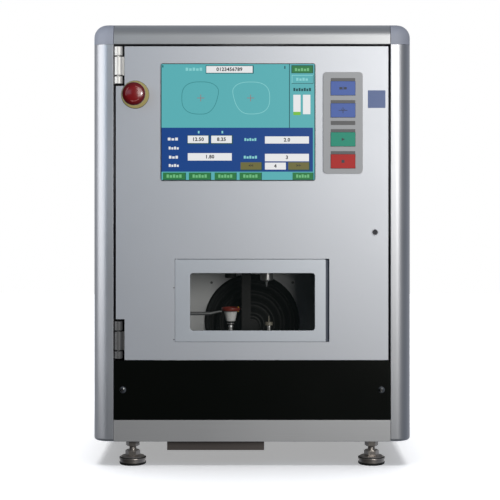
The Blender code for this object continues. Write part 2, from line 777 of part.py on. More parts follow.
def feet(steel, beam, pan):
    """Four feet, each a pad, hexagon and stud in one, and the lock nuts under the base."""
    nut_top = body_bottom - SEAT_GAP
    nut_bottom = nut_top - NUT_HEIGHT
    hex_top = PAD_HEIGHT + HEX_HEIGHT
    bore = STUD_RADIUS + SEAT_GAP
    stud_top = body_bottom + STUD_RUN
    profile = [
        (0, 0),
        (PAD_RADIUS, 0),
        (PAD_RADIUS, PAD_RIM_HEIGHT),
        (PAD_SHOULDER_RADIUS, PAD_HEIGHT),
        (STUD_RADIUS, PAD_HEIGHT),
        (STUD_RADIUS, stud_top),
        (0, stud_top),
    ]
    rows = (("front", front + FOOT_INSET_Y, beam), ("rear", rear - FOOT_INSET_Y, pan))
    for row, y, carrier in rows:
        for hand, sign in (("left", -1), ("right", 1)):
            x = sign * (side - FOOT_INSET_X)
            place = (x, y, 0)
            foot = turned(f"foot_{row}_{hand}", profile, place, "Z", steel)
            hex_bottom = PAD_HEIGHT - PAD_RIM_HEIGHT / 2
            outline = hexagon((x, y), HEX_RADIUS)
            join(foot, prism("hexagon", outline, "Z", hex_bottom, hex_top))
            nut = prism(f"lock_nut_{row}_{hand}", outline, "Z", nut_bottom, nut_top, steel)
            cut(nut, cylinder("nut_bore", bore, place, "Z", nut_bottom - OVERRUN, nut_top + OVERRUN))
            bore_top = stud_top + SEAT_GAP
            cut(carrier, cylinder("stud_bore", bore, place, "Z", body_bottom - OVERRUN, bore_top))
            hang(pivot(f"foot_slide_{row}_{hand}", place), foot)


def hinge_places():
    """Top of each hinge: the upper one at the door's top, the lower one above its foot."""
    length = TOP_KNUCKLE + MIDDLE_KNUCKLE + LOWER_KNUCKLE + 2 * KNUCKLE_GAP
    return {
        "upper": door_top - UPPER_HINGE_DROP,
        "lower": door_bottom + LOWER_HINGE_RISE + length,
    }, length


def hinge(name, top, length, steel):
    """Three-knuckle hinge: the frame leaf carries the outer knuckles and the pin, and the door
    leaf the middle one."""
    place = (hinge_x, hinge_y, 0)
    bottom = top - length
    upper_low = top - TOP_KNUCKLE
    middle_top = upper_low - KNUCKLE_GAP
    middle_low = middle_top - MIDDLE_KNUCKLE
    lower_top = bottom + LOWER_KNUCKLE

    plate_low = (SEAT_GAP - inner_side, hinge_y + HINGE_RADIUS + KNUCKLE_GAP, bottom)
    plate_right = plate_low[0] + HINGE_LEAF
    plate_back = hinge_y + FRAME_LEAF_REACH
    frame_leaf = block(f"hinge_{name}_frame_leaf", plate_low, (plate_right, plate_back, top), steel)
    for low, high in ((upper_low, top), (bottom, lower_top)):
        tab_back = plate_low[1] + HINGE_LEAF
        join(frame_leaf, block("tab", (plate_low[0], hinge_y, low), (plate_right, tab_back, high)))
        join(frame_leaf, cylinder("knuckle", HINGE_RADIUS, place, "Z", low, high, steps=SMALL_TURN_STEPS))
    pin_low, pin_top = bottom + LOWER_KNUCKLE / 2, top - TOP_KNUCKLE / 2
    join(frame_leaf, cylinder("pin", HINGE_PIN_RADIUS, place, "Z", pin_low, pin_top, steps=SMALL_TURN_STEPS))

    leaf_front = door_back + SEAT_GAP
    leaf_low = (hinge_x, leaf_front, middle_low)
    leaf_high = (hinge_x + DOOR_LEAF_REACH, leaf_front + HINGE_LEAF, middle_top)
    door_leaf = block(f"hinge_{name}_door_leaf", leaf_low, leaf_high, steel)
    knuckle = cylinder("knuckle", HINGE_RADIUS, place, "Z", middle_low, middle_top, steps=SMALL_TURN_STEPS)
    join(door_leaf, knuckle)
    bore = HINGE_PIN_RADIUS + SEAT_GAP
    bore_tool = cylinder(
        "bore", bore, place, "Z", middle_low - OVERRUN, middle_top + OVERRUN, steps=SMALL_TURN_STEPS
    )
    cut(door_leaf, bore_tool)
    return frame_leaf, door_leaf


def front_door(paint):
    """Sheet door with bent-back edges, and every cut-out that its fittings need."""
    flange_back = door_front + DOOR_FLANGE
    door_low = (door_left, door_front, door_bottom)
    door = block("door_panel", door_low, (door_right, flange_back, door_top), paint)
    inside_low = (door_left + DOOR_SHEET, door_back, door_bottom + DOOR_SHEET)
    inside_high = (door_right - DOOR_SHEET, flange_back + OVERRUN, door_top - DOOR_SHEET)
    cut(door, block("door_inside", inside_low, inside_high))

    lip = DOOR_SHEET
    lip_low = (window_left - lip, door_front + DOOR_SHEET / 2, window_bottom - lip)
    lip_high = (window_right + lip, door_front + WINDOW_LIP, window_top + lip)
    join(door, block("window_lip", lip_low, lip_high))
    cut_front, cut_back = door_front - OVERRUN, flange_back + OVERRUN
    opening = block(
        "window_opening", (window_left, cut_front, window_bottom), (window_right, cut_back, window_top)
    )
    pin_bore_reach = WINDOW_PIN_REACH + WINDOW_TOP_GAP + SEAT_GAP
    pin_bore = cylinder(
        "pin_bore",
        WINDOW_PIN_RADIUS + SEAT_GAP,
        (window_axis_x, window_axis_y, 0),
        "Z",
        window_bottom - pin_bore_reach,
        window_top + pin_bore_reach,
        steps=12,
    )
    cut(door, opening, pin_bore)

    gap = SEAT_GAP
    display_low = (display_left + DISPLAY_LIP - gap, display_bottom + DISPLAY_LIP - gap)
    display_high = (display_right - DISPLAY_LIP + gap, display_top - DISPLAY_LIP + gap)
    keys_low = (key_panel_left + KEY_PANEL_LIP - gap, key_panel_bottom + KEY_PANEL_LIP - gap)
    keys_high = (key_panel_right - KEY_PANEL_LIP + gap, key_panel_top - KEY_PANEL_LIP + gap)
    for name, low, high in (("display_hole", display_low, display_high), ("key_hole", keys_low, keys_high)):
        cut(door, block(name, (low[0], cut_front, low[1]), (high[0], cut_back, high[1])))
    thread_hole = ESTOP_THREAD_RADIUS + gap
    cut(door, cylinder("estop_hole", thread_hole, estop_place, "Y", cut_front, cut_back))
    lock_bore = LOCK_RADIUS + gap
    lock_hole = cylinder(
        "lock_hole", lock_bore, lock_place, "Y", cut_front, cut_back, steps=SMALL_TURN_STEPS
    )
    cut(door, lock_hole)

    notch_left = door_left - OVERRUN
    notch_right = hinge_x + HINGE_RADIUS + NOTCH_SIDE_GAP
    tops, length = hinge_places()
    upper_low = tops["upper"] - length - NOTCH_END_GAP
    lower_top = tops["lower"] + NOTCH_END_GAP
    for low, high in ((upper_low, door_top + OVERRUN), (door_bottom - OVERRUN, lower_top)):
        cut(door, block("notch", (notch_left, cut_front, low), (notch_right, cut_back, high)))
    return door


def display_unit(plastic):
    """Display module: a thin frame in front of the door, its case through the cut-out."""
    seat = door_front - SEAT_GAP
    frame = rounded((display_left, display_bottom), (display_right, display_top), DISPLAY_CORNER, 4)
    unit = prism("display_unit", frame, "Y", seat - DISPLAY_PROUD, seat, plastic)
    low = (display_left + DISPLAY_LIP, seat - DISPLAY_PROUD / 2, display_bottom + DISPLAY_LIP)
    high = (display_right - DISPLAY_LIP, seat + DISPLAY_DEPTH, display_top - DISPLAY_LIP)
    join(unit, block("display_case", low, high))
    return unit


def key_panel(plastic, blue, green, red):
    """Key panel and its four keys, each in a pocket that leaves room for its travel."""
    seat = door_front - SEAT_GAP
    plate_front = seat - KEY_PANEL_PLATE
    outline = rounded(
        (key_panel_left, key_panel_bottom), (key_panel_right, key_panel_top), KEY_PANEL_CORNER, 4
    )
    panel = prism("key_panel", outline, "Y", plate_front, seat, plastic)
    low = (key_panel_left + KEY_PANEL_LIP, seat - KEY_PANEL_PLATE / 2, key_panel_bottom + KEY_PANEL_LIP)
    high = (key_panel_right - KEY_PANEL_LIP, seat + KEY_PANEL_DEPTH, key_panel_top - KEY_PANEL_LIP)
    join(panel, block("key_case", low, high))
    key_front = plate_front - KEY_PROUD
    key_back = key_front + KEY_DEPTH
    centre_x = (key_panel_left + key_panel_right) / 2
    colours = {"key_green": green, "key_red": red}
    keys = []
    for name, drop in KEY_DROPS.items():
        z = key_panel_top - drop
        reach_x, reach_z = KEY_WIDTH / 2, KEY_HEIGHT / 2
        shape = rounded(
            (centre_x - reach_x, z - reach_z), (centre_x + reach_x, z + reach_z), KEY_CORNER, 3
        )
        keys.append(prism(name, shape, "Y", key_front, key_back, colours.get(name, blue)))
        pocket_x, pocket_z = reach_x + SEAT_GAP, reach_z + SEAT_GAP
        pocket_low = (centre_x - pocket_x, plate_front - OVERRUN, z - pocket_z)
        pocket_high = (centre_x + pocket_x, key_back + KEY_TRAVEL + SEAT_GAP, z + pocket_z)
        cut(panel, block("pocket", pocket_low, pocket_high))
    return panel, keys


def emergency_stop(yellow, black, red):
    """Collar through the door, a stem that is pushed in, and a head that turns on the stem."""
    def along(depth):
        return door_front - SEAT_GAP - depth

    boss = ESTOP_HEAD_BASE - ESTOP_TRAVEL - SEAT_GAP
    bore = ESTOP_STEM_RADIUS + SEAT_GAP
    bore_end = -ESTOP_STEM_REAR - ESTOP_TRAVEL - SEAT_GAP
    block_front = -ESTOP_THREAD_LENGTH
    collar_profile = [
        (0, along(bore_end)),
        (bore, along(bore_end)),
        (bore, along(boss)),
        (ESTOP_BOSS_RADIUS, along(boss)),
        (ESTOP_BOSS_RADIUS, along(ESTOP_RING)),
        (ESTOP_RING_RADIUS, along(ESTOP_RING)),
        (ESTOP_RING_RADIUS, along(0)),
        (ESTOP_THREAD_RADIUS, along(0)),
        (ESTOP_THREAD_RADIUS, along(block_front)),
        (ESTOP_BLOCK_RADIUS, along(block_front)),
        (ESTOP_BLOCK_RADIUS, along(block_front - ESTOP_BLOCK_LENGTH)),
        (0, along(block_front - ESTOP_BLOCK_LENGTH)),
    ]
    collar = turned("estop_collar", collar_profile, estop_place, "Y", yellow)
    tip = ESTOP_HEAD_BASE + ESTOP_HEAD_SOCKET
    stem_profile = [
        (0, along(-ESTOP_STEM_REAR)),
        (ESTOP_STEM_RADIUS, along(-ESTOP_STEM_REAR)),
        (ESTOP_STEM_RADIUS, along(ESTOP_HEAD_BASE - SEAT_GAP)),
        (ESTOP_STEM_TIP_RADIUS, along(ESTOP_HEAD_BASE - SEAT_GAP)),
        (ESTOP_STEM_TIP_RADIUS, along(tip - SEAT_GAP)),
        (0, along(tip - SEAT_GAP)),
    ]
    stem = turned("estop_stem", stem_profile, estop_place, "Y", black, steps=24)
    socket = ESTOP_STEM_TIP_RADIUS + SEAT_GAP
    crown = ESTOP_HEIGHT - ESTOP_HEAD_BROW
    turns = [math.pi / 2 * step / ARC_STEPS for step in range(ARC_STEPS)]
    brow = [
        (ESTOP_HEAD_RADIUS * math.cos(turn), along(ESTOP_HEAD_BROW + crown * math.sin(turn)))
        for turn in turns
    ]
    head_profile = [
        (0, along(tip)),
        (socket, along(tip)),
        (socket, along(ESTOP_HEAD_BASE)),
        (ESTOP_HEAD_BASE_RADIUS, along(ESTOP_HEAD_BASE)),
        (ESTOP_HEAD_RADIUS, along(ESTOP_HEAD_WIDE)),
        *brow,
        (0, along(ESTOP_HEIGHT)),
    ]
    head = turned("estop_head", head_profile, estop_place, "Y", red)
    return collar, stem, head


def cam_lock(steel):
    """Lock barrel with its cam behind the door, and the keeper on the right column."""
    x, _, z = lock_place
    collar_front = door_back + SEAT_GAP
    cam_front = door_front + DOOR_FLANGE + KEEPER_STOP_GAP + KEEPER_SHEET + CAM_GAP
    cam_back = cam_front + CAM_SHEET
    lock = turned(
        "lock_cam",
        [
            (0, door_front),
            (LOCK_RADIUS, door_front),
            (LOCK_RADIUS, collar_front),
            (LOCK_COLLAR_RADIUS, collar_front),
            (LOCK_COLLAR_RADIUS, cam_back),
            (0, cam_back),
        ],
        lock_place,
        "Y",
        steel,
        steps=SMALL_TURN_STEPS,
    )
    cam_low = (x - CAM_WIDTH / 2, cam_front, z - CAM_LENGTH)
    join(lock, block("cam", cam_low, (x + CAM_WIDTH / 2, cam_back, z)))
    slot_x, slot_z = LOCK_KEYHOLE_WIDTH / 2, LOCK_KEYHOLE_LENGTH / 2
    slot_low = (x - slot_x, door_front - OVERRUN, z - slot_z)
    cut(lock, block("keyhole", slot_low, (x + slot_x, door_front + LOCK_KEYHOLE_DEPTH, z + slot_z)))

    keeper_back = cam_front - CAM_GAP
    keeper_front = keeper_back - KEEPER_SHEET
    wall = inner_side - SEAT_GAP
    half = KEEPER_HEIGHT / 2
    keeper_low = (inner_side - KEEPER_REACH, keeper_front, z - half)
    keeper = block("lock_keeper", keeper_low, (wall, keeper_back, z + half), steel)
    foot_low = (wall - KEEPER_SHEET, keeper_front, z + half)
    foot_high = (wall, keeper_front + KEEPER_FOOT, z + half + KEEPER_HEIGHT)
    neck_low = (wall - KEEPER_SHEET, keeper_front, z - half)
    neck_high = (wall, keeper_back, z + half + KEEPER_HEIGHT)
    join(keeper, block("keeper_neck", neck_low, neck_high), block("keeper_foot", foot_low, foot_high))
    return lock, keeper


def window_door(paint, clear):
    """Window door with a rolled left edge on its pins, and the pane behind its cut-out."""
    low_z = window_bottom + WINDOW_FOOT_GAP
    high_z = window_top - WINDOW_TOP_GAP
    right = window_right - FINGER_GAP
    radius = WINDOW_PLATE / 2
    outline = [(right, door_front), (right, door_front + WINDOW_PLATE)]
    for step in range(2 * ARC_STEPS + 1):
        turn = math.pi * (0.5 + step / (2 * ARC_STEPS))
        outline.append((window_axis_x + radius * math.cos(turn), window_axis_y + radius * math.sin(turn)))
    plate = prism("window_door", outline, "Z", low_z, high_z, paint)
    pin_low = window_bottom - WINDOW_PIN_REACH
    pin_high = window_top + WINDOW_PIN_REACH
    place = (window_axis_x, window_axis_y, 0)
    join(plate, cylinder("pins", WINDOW_PIN_RADIUS, place, "Z", pin_low, pin_high, steps=12))
    left = window_left + WINDOW_SIDE_GAP
    hole_low = (left + PANE_LEFT, low_z + PANE_RISE)
    hole_high = (right - PANE_RIGHT, high_z - PANE_DROP)
    hole = rounded(hole_low, hole_high, PANE_CORNER, 4)
    cut(plate, prism("pane_hole", hole, "Y", door_front - OVERRUN, door_front + WINDOW_PLATE + OVERRUN))
    margin = PANE_MARGIN
    pane_outline = rounded(
        (hole_low[0] - margin, hole_low[1] - margin),
        (hole_high[0] + margin, hole_high[1] + margin),
        PANE_CORNER,
        3,
    )
    pane_front = door_front + WINDOW_PLATE + SEAT_GAP
    pane = prism("window_pane", pane_outline, "Y", pane_front, pane_front + PANE_SHEET, clear)
    return plate, pane


def chamber(steel):
    """Liner of the drilling chamber, open to the front, standing on the base floor by its side walls."""
    half = CHAMBER_WIDTH / 2
    liner_front = front + CHAMBER_FRONT
    flange = CHAMBER_FLANGE
    sheet = CHAMBER_SHEET
    low, high = (-half, liner_front, chamber_floor), (half, chamber_back, chamber_top)
    liner = block("chamber_liner", [v - sheet for v in low], [v + sheet for v in high], steel)
    rim_low = (low[0] - flange, liner_front - sheet, low[2] - flange)
    rim_high = (high[0] + flange, liner_front, high[2] + flange)
    join(liner, block("rim", rim_low, rim_high))
    for sign in (-1, 1):
        wall = sorted((sign * half, sign * (half + sheet)))
        leg_low = (wall[0], column_back + SEAT_GAP, floor_top + SEAT_GAP)
        join(liner, block("leg", leg_low, (wall[1], chamber_back, chamber_floor)))
    guide_top = chamber_floor + STYLUS_GUIDE_HEIGHT
    stylus_place = (STYLUS_X, drill_y, 0)
    cut(liner, block("chamber_inside", (low[0], liner_front - sheet - OVERRUN, low[2]), high))
    guide_foot = chamber_floor - sheet / 2
    join(liner, cylinder("guide", STYLUS_GUIDE_RADIUS, stylus_place, "Z", guide_foot, guide_top))
    guide_low = chamber_floor - sheet - OVERRUN
    bore = STYLUS_SHAFT_RADIUS + SEAT_GAP
    cut(liner, cylinder("guide_bore", bore, stylus_place, "Z", guide_low, guide_top + OVERRUN, steps=16))
    mouth_place = (0, 0, arm_z)
    mouth_back = chamber_back + sheet + OVERRUN
    cut(liner, cylinder("mouth", BELLOWS_MOUTH, mouth_place, "Y", chamber_back - OVERRUN, mouth_back))
    head_hole = HEAD_RADIUS + HEAD_HOLE_GAP
    hole_low = (DRILL_X - head_hole, drill_y - head_hole, chamber_top - OVERRUN)
    hole_high = (DRILL_X + head_hole, drill_y + head_hole, chamber_top + sheet + OVERRUN)
    cut(liner, block("head_hole", hole_low, hole_high))
    chips_low = (-CHIP_HOLE_LEFT, front + CHIP_HOLE_BACK, guide_low)
    chips_back = front + CHIP_HOLE_BACK + CHIP_HOLE_DEPTH
    chips_high = (CHIP_HOLE_WIDTH - CHIP_HOLE_LEFT, chips_back, chamber_floor + OVERRUN)
    cut(liner, block("chip_outlet", chips_low, chips_high))
    return liner


def bellows(rubber):
    """Pleated rubber cone round the arm's shank: its radius falls evenly while every other ring
    stands forward."""
    back = chamber_back - SEAT_GAP
    inner = SHANK_RADIUS + SEAT_GAP
    rings = 2 * BELLOWS_PLEATS
    outer_side = []
    for step in range(rings + 1):
        share = step / rings
        radius = BELLOWS_RADIUS + (inner - BELLOWS_RADIUS) * share
        pleat = PLEAT_DEPTH if step % 2 else 0
        outer_side.append((radius, back - BELLOWS_WALL - BELLOWS_LENGTH * share - pleat))
    inner_side_points = [(radius, along + BELLOWS_WALL) for radius, along in reversed(outer_side)]
    profile = outer_side + inner_side_points
    return turned("bellows", profile, (0, 0, arm_z), "Y", rubber, hollow=True, steps=BELLOWS_STEPS)


def lens_arm(dark):
    """C-shaped arm on a shank that leaves the chamber through the bellows and ends in the slide carriage."""
    arm_front = front + ARM_FRONT
    arm_back = arm_front + ARM_THICKNESS
    left, right = ARM_X - ARM_WIDTH / 2, ARM_X + ARM_WIDTH / 2
    foot_z, top_z = chamber_floor + ARM_FOOT_RISE, chamber_floor + ARM_TOP_RISE
    half = BRACKET_WIDTH / 2
    bar_left = HOLDER_X - half
    lower_bar, upper_bar = foot_z + BRACKET_HEIGHT, top_z - BRACKET_HEIGHT
    outline = [
        (bar_left, foot_z),
        (right, foot_z),
        (right, top_z),
        (bar_left, top_z),
        (bar_left, upper_bar),
        (left, upper_bar),
        (left, lower_bar),
        (bar_left, lower_bar),
    ]
    arm = prism("lens_arm", outline, "Y", arm_front, arm_back, dark)
    for low in (foot_z, upper_bar):
        nose_high = (HOLDER_X + half, arm_back - ARM_THICKNESS / 2, low + BRACKET_HEIGHT)
        join(arm, block("nose", (bar_left, drill_y - half, low), nose_high))
    shank_place = (0, 0, arm_z)
    carriage_front = front + CARRIAGE_FRONT
    shank_end = carriage_front + CARRIAGE_DEPTH / 2
    join(arm, cylinder("shank", SHANK_RADIUS, shank_place, "Y", front + SHANK_FRONT, shank_end))
    reach, rise = CARRIAGE_WIDTH / 2, CARRIAGE_HEIGHT / 2
    carriage_low = (-reach, carriage_front, arm_z - rise)
    join(arm, block("carriage", carriage_low, (reach, carriage_front + CARRIAGE_DEPTH, arm_z + rise)))
    shafts = ((HOLDER_SHAFT_RADIUS, foot_z), (CLAMP_SHAFT_RADIUS, upper_bar))
    for radius, low in shafts:
        bore_high = low + BRACKET_HEIGHT + OVERRUN
        place = (HOLDER_X, drill_y, 0)
        cut(arm, cylinder("shaft_bore", radius + SEAT_GAP, place, "Z", low - OVERRUN, bore_high, steps=16))
    return arm


def slide_stage(steel):
    """Pedestal behind the chamber, whose top is the rail of the carriage."""
    reach = STAGE_WIDTH / 2
    stage_front = chamber_back + CHAMBER_SHEET + SEAT_GAP
    top = arm_z - CARRIAGE_HEIGHT / 2 - SEAT_GAP
    low = (-reach, stage_front, floor_top + SEAT_GAP)
    return block("slide_stage", low, (reach, stage_front + STAGE_DEPTH, top), steel)


def lens_holder(white):
    """Shaft, clip, cone and dished rim that carry the lens from below."""
    bracket_low = chamber_floor + ARM_FOOT_RISE
    bracket_top = bracket_low + BRACKET_HEIGHT
    collar_low = bracket_top + SEAT_GAP
    clip_low = chamber_floor + HOLDER_CLIP_RISE
    cone_low = clip_low + HOLDER_CLIP
    cone_top = cone_low + CONE_HEIGHT
    rim_top = cone_top + RIM_HEIGHT
    profile = [
        (0, bracket_low - HOLDER_SHAFT_DROP),
        (HOLDER_SHAFT_RADIUS, bracket_low - HOLDER_SHAFT_DROP),
        (HOLDER_SHAFT_RADIUS, collar_low),
        (HOLDER_COLLAR_RADIUS, collar_low),
        (HOLDER_COLLAR_RADIUS, collar_low + HOLDER_COLLAR),
        (HOLDER_SHAFT_RADIUS, collar_low + HOLDER_COLLAR),
        (HOLDER_SHAFT_RADIUS, clip_low),
        (HOLDER_CLIP_RADIUS, clip_low),
        (HOLDER_CLIP_RADIUS, cone_low),
        (CONE_FOOT_RADIUS, cone_low),
        (CONE_TOP_RADIUS, cone_top),
        (RIM_RADIUS, cone_top),
        (RIM_RADIUS, rim_top),
        (RIM_DISH_RADIUS, rim_top),
        (0, rim_top - RIM_DISH),
    ]
    return turned("lens_holder", profile, (HOLDER_X, drill_y, 0), "Z", white, steps=28)


def lens_clamp(rubber):
    """Pad on a shaft that is lowered onto the lens."""
    pad_low = chamber_floor + CLAMP_PAD_RISE
    pad_top = pad_low + CLAMP_PAD_HEIGHT
    shaft_top = chamber_floor + CLAMP_SHAFT_TOP_RISE
    profile = [
        (0, pad_low),
        (CLAMP_PAD_RADIUS, pad_low),
        (CLAMP_PAD_RADIUS, pad_top),
        (CLAMP_SHAFT_RADIUS, pad_top),
        (CLAMP_SHAFT_RADIUS, shaft_top),
        (0, shaft_top),
    ]
    return turned("lens_clamp", profile, (HOLDER_X, drill_y, 0), "Z", rubber, steps=24)


def drill(steel, chrome):
    """Head that is lowered, the spindle that spins in it, and the feed stage on the chamber's ceiling."""
    place = (DRILL_X, drill_y, 0)
    head_low = chamber_floor + HEAD_FOOT_RISE
    head_top = head_low + HEAD_LENGTH
    bore = SPINDLE_SHAFT_RADIUS + SEAT_GAP
    bore_top = head_low + SPINDLE_SHAFT_LENGTH
    head_profile = [
        (0, bore_top),
        (bore, bore_top),
        (bore, head_low),
        (HEAD_RADIUS, head_low),
        (HEAD_RADIUS, head_top),
        (0, head_top),
    ]
    head = turned("drill_head", head_profile, place, "Z", steel)
    nose_low = chamber_floor + SPINDLE_FOOT_RISE
    bit_low = nose_low - BIT_LENGTH
    nose_top = head_low - SEAT_GAP
    shaft_top = bore_top - SEAT_GAP
    spindle_profile = [
        (0, bit_low),
        (BIT_TIP_RADIUS, bit_low),
        (BIT_RADIUS, bit_low + BIT_LENGTH / 2),
        (BIT_RADIUS, nose_low),
        (SPINDLE_NOSE_RADIUS, nose_low),
        (SPINDLE_RADIUS, nose_low + SPINDLE_TAPER),
        (SPINDLE_RADIUS, nose_top),
        (SPINDLE_SHAFT_RADIUS, nose_top),
        (SPINDLE_SHAFT_RADIUS, shaft_top),
        (0, shaft_top),
    ]
    spindle = turned("drill_spindle", spindle_profile, place, "Z", chrome, steps=28)

    plate_low = chamber_top + CHAMBER_SHEET + SEAT_GAP
    plate_top = plate_low + FEED_PLATE
    half = FEED_PLATE_WIDTH / 2
    plate_front = drill_y - FEED_BLOCK_DEPTH / 2
    plate_back = plate_front + FEED_PLATE_DEPTH
    stage = block(
        "feed_stage", (DRILL_X - half, plate_front, plate_low), (DRILL_X + half, plate_back, plate_top), steel
    )
    block_half = FEED_BLOCK_WIDTH / 2
    block_low = (DRILL_X - block_half, plate_front, plate_low + FEED_PLATE / 2)
    block_high = (DRILL_X + block_half, plate_front + FEED_BLOCK_DEPTH, plate_top + FEED_BLOCK_HEIGHT)
    motor_half = FEED_MOTOR_SIDE / 2
    motor_low = (DRILL_X - motor_half, plate_back - FEED_MOTOR_SIDE, plate_low + FEED_PLATE / 2)
    motor_high = (DRILL_X + motor_half, plate_back, plate_top + FEED_MOTOR_HEIGHT)
    join(stage, block("guide_block", block_low, block_high), block("feed_motor", motor_low, motor_high))
    guide_bore = HEAD_RADIUS + SEAT_GAP
    bore_end = block_high[2] + OVERRUN
    cut(stage, cylinder("head_bore", guide_bore, place, "Z", plate_low - OVERRUN, bore_end))
    return head, spindle


def stylus(steel):
    """Needle, flange and shaft that feel the lens from below."""
    tip = chamber_floor + STYLUS_TIP_RISE
    flange_top = tip - NEEDLE_LENGTH
    flange_low = flange_top - STYLUS_FLANGE
    shaft_low = chamber_floor - STYLUS_SHAFT_DROP
    profile = [
        (0, shaft_low),
        (STYLUS_SHAFT_RADIUS, shaft_low),
        (STYLUS_SHAFT_RADIUS, flange_low),
        (STYLUS_FLANGE_RADIUS, flange_low),
        (STYLUS_FLANGE_RADIUS, flange_top),
        (NEEDLE_RADIUS, flange_top),
        (NEEDLE_TIP_RADIUS, tip),
        (0, tip),
    ]
    return turned("stylus", profile, (STYLUS_X, drill_y, 0), "Z", steel, steps=24)


def steel_tube(steel):
    """Tube from the chamber's left wall, straight and then bent up towards the holder's rim."""
    wall_x = SEAT_GAP - CHAMBER_WIDTH / 2
    tip_x = HOLDER_X - RIM_RADIUS - TUBE_TIP_GAP
    bend_x = tip_x - TUBE_BEND_RUN
    z = chamber_floor + TUBE_RISE
    data = bpy.data.curves.new("steel_tube", "CURVE")
    data.dimensions = "3D"
    data.bevel_depth = TUBE_RADIUS
    data.bevel_resolution = TUBE_RESOLUTION
    data.use_fill_caps = True
    points = [(wall_x, z), ((wall_x + bend_x) / 2, z)]
    for step in range(TUBE_STEPS + 1):
        share = step / TUBE_STEPS
        rise = TUBE_BEND_RISE * (1 - math.cos(math.pi * share)) / 2
        points.append((bend_x + TUBE_BEND_RUN * share, z + rise))
    line = data.splines.new("POLY")
    line.points.add(len(points) - 1)
    for spot, (x, height) in zip(line.points, points):
        spot.co = (x, drill_y, height, 1)
    data.materials.append(steel)
    obj = bpy.data.objects.new("steel_tube", data)
    bpy.context.scene.collection.objects.link(obj)
    return obj


def power_supply(steel):
    """Supply box on the base floor, behind the chamber."""
    right = inner_side - SUPPLY_INSET
    low = (right - SUPPLY_WIDTH, front + SUPPLY_FRONT, floor_top + SEAT_GAP)
    high = (right, rear - SUPPLY_REAR, low[2] + SUPPLY_HEIGHT)
    return block("power_supply", low, high, steel)


def build():
    aluminium = finish("satin_aluminium", (0.60, 0.62, 0.66), 0.35, 1.0)
    cap_plastic = finish("cap_plastic", (0.33, 0.35, 0.43), 0.6)
    silver_paint = finish("silver_paint", (0.50, 0.52, 0.56), 0.4, 0.5)
    black_gloss = finish("black_gloss", (0.005, 0.007, 0.006), 0.15)
    sheet_steel = finish("sheet_steel", (0.12, 0.12, 0.12), 0.5, 0.6)
    bright_steel = finish("bright_steel", (0.65, 0.65, 0.64), 0.25, 1.0)
    dark_plastic = finish("dark_plastic", (0.03, 0.03, 0.03), 0.5)
    grey_plastic = finish("grey_plastic", (0.40, 0.40, 0.41), 0.5)
    blue_key = finish("blue_key", (0.13, 0.19, 0.55), 0.4)
    green_key = finish("green_key", (0.05, 0.33, 0.21), 0.4)
    red_key = finish("red_key", (0.55, 0.05, 0.05), 0.4)
    yellow_plastic = finish("yellow_plastic", (0.80, 0.62, 0.05), 0.5)
    red_gloss = finish("red_gloss", (0.55, 0.01, 0.01), 0.2)
    clear_plastic = finish("clear_plastic", (0.9, 0.9, 0.9), 0.05, alpha=0.25)
    liner_paint = finish("liner_paint", (0.45, 0.46, 0.47), 0.5, 0.3)
    black_rubber = finish("black_rubber", (0.01, 0.01, 0.01), 0.6)
    white_plastic = finish("white_plastic", (0.75, 0.75, 0.72), 0.4)
    foot_steel = finish("foot_steel", (0.15, 0.13, 0.11), 0.4, 0.8)

    frame_pieces(aluminium, cap_plastic)
    beam, pan = base(aluminium, sheet_steel)
    tray = chip_tray(sheet_steel)
    panels(silver_paint, black_gloss, bright_steel)
    power_inlet(dark_plastic)
    feet(foot_steel, beam, pan)

    door = front_door(silver_paint)
    tops, length = hinge_places()
    door_leaves = [hinge(name, top, length, bright_steel)[1] for name, top in tops.items()]
    display = display_unit(dark_plastic)
    panel, keys = key_panel(grey_plastic, blue_key, green_key, red_key)
    collar, stem, head = emergency_stop(yellow_plastic, dark_plastic, red_gloss)
    lock, _ = cam_lock(bright_steel)
    plate, pane = window_door(silver_paint, clear_plastic)

    chamber(liner_paint)
    bellows(black_rubber)
    arm = lens_arm(sheet_steel)
    slide_stage(sheet_steel)
    holder = lens_holder(white_plastic)
    clamp = lens_clamp(black_rubber)
    drill_head, spindle = drill(sheet_steel, bright_steel)
    feeler = stylus(bright_steel)
    steel_tube(bright_steel)
    power_supply(sheet_steel)

    door_pivot = pivot("door_pivot", (hinge_x, hinge_y, door_bottom))
    window_pivot = pivot("window_pivot", (window_axis_x, window_axis_y, window_bottom))
    stop_pivot = pivot("estop_pivot", estop_place)
    lock_pivot = pivot("lock_pivot", lock_place)
    arm_pivot = pivot("arm_pivot", (0, chamber_back, arm_z))
    holder_pivot = pivot("holder_pivot", (HOLDER_X, drill_y, arm_z))
    drill_pivot = pivot("drill_pivot", (DRILL_X, drill_y, arm_z))
    tray_pivot = pivot("tray_pivot", (0, front + TRAY_FRONT, body_bottom))
    hang(door_pivot, door, *door_leaves, display, panel, *keys, collar, window_pivot, stop_pivot, lock_pivot)
    hang(window_pivot, plate, pane)
    hang(stop_pivot, stem, head)
    hang(lock_pivot, lock)
    hang(arm_pivot, arm, holder_pivot)
    hang(holder_pivot, holder, clamp)
    hang(drill_pivot, drill_head, spindle, feeler)
    hang(tray_pivot, tray)


clear_scene()
build()
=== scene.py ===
import json
import math

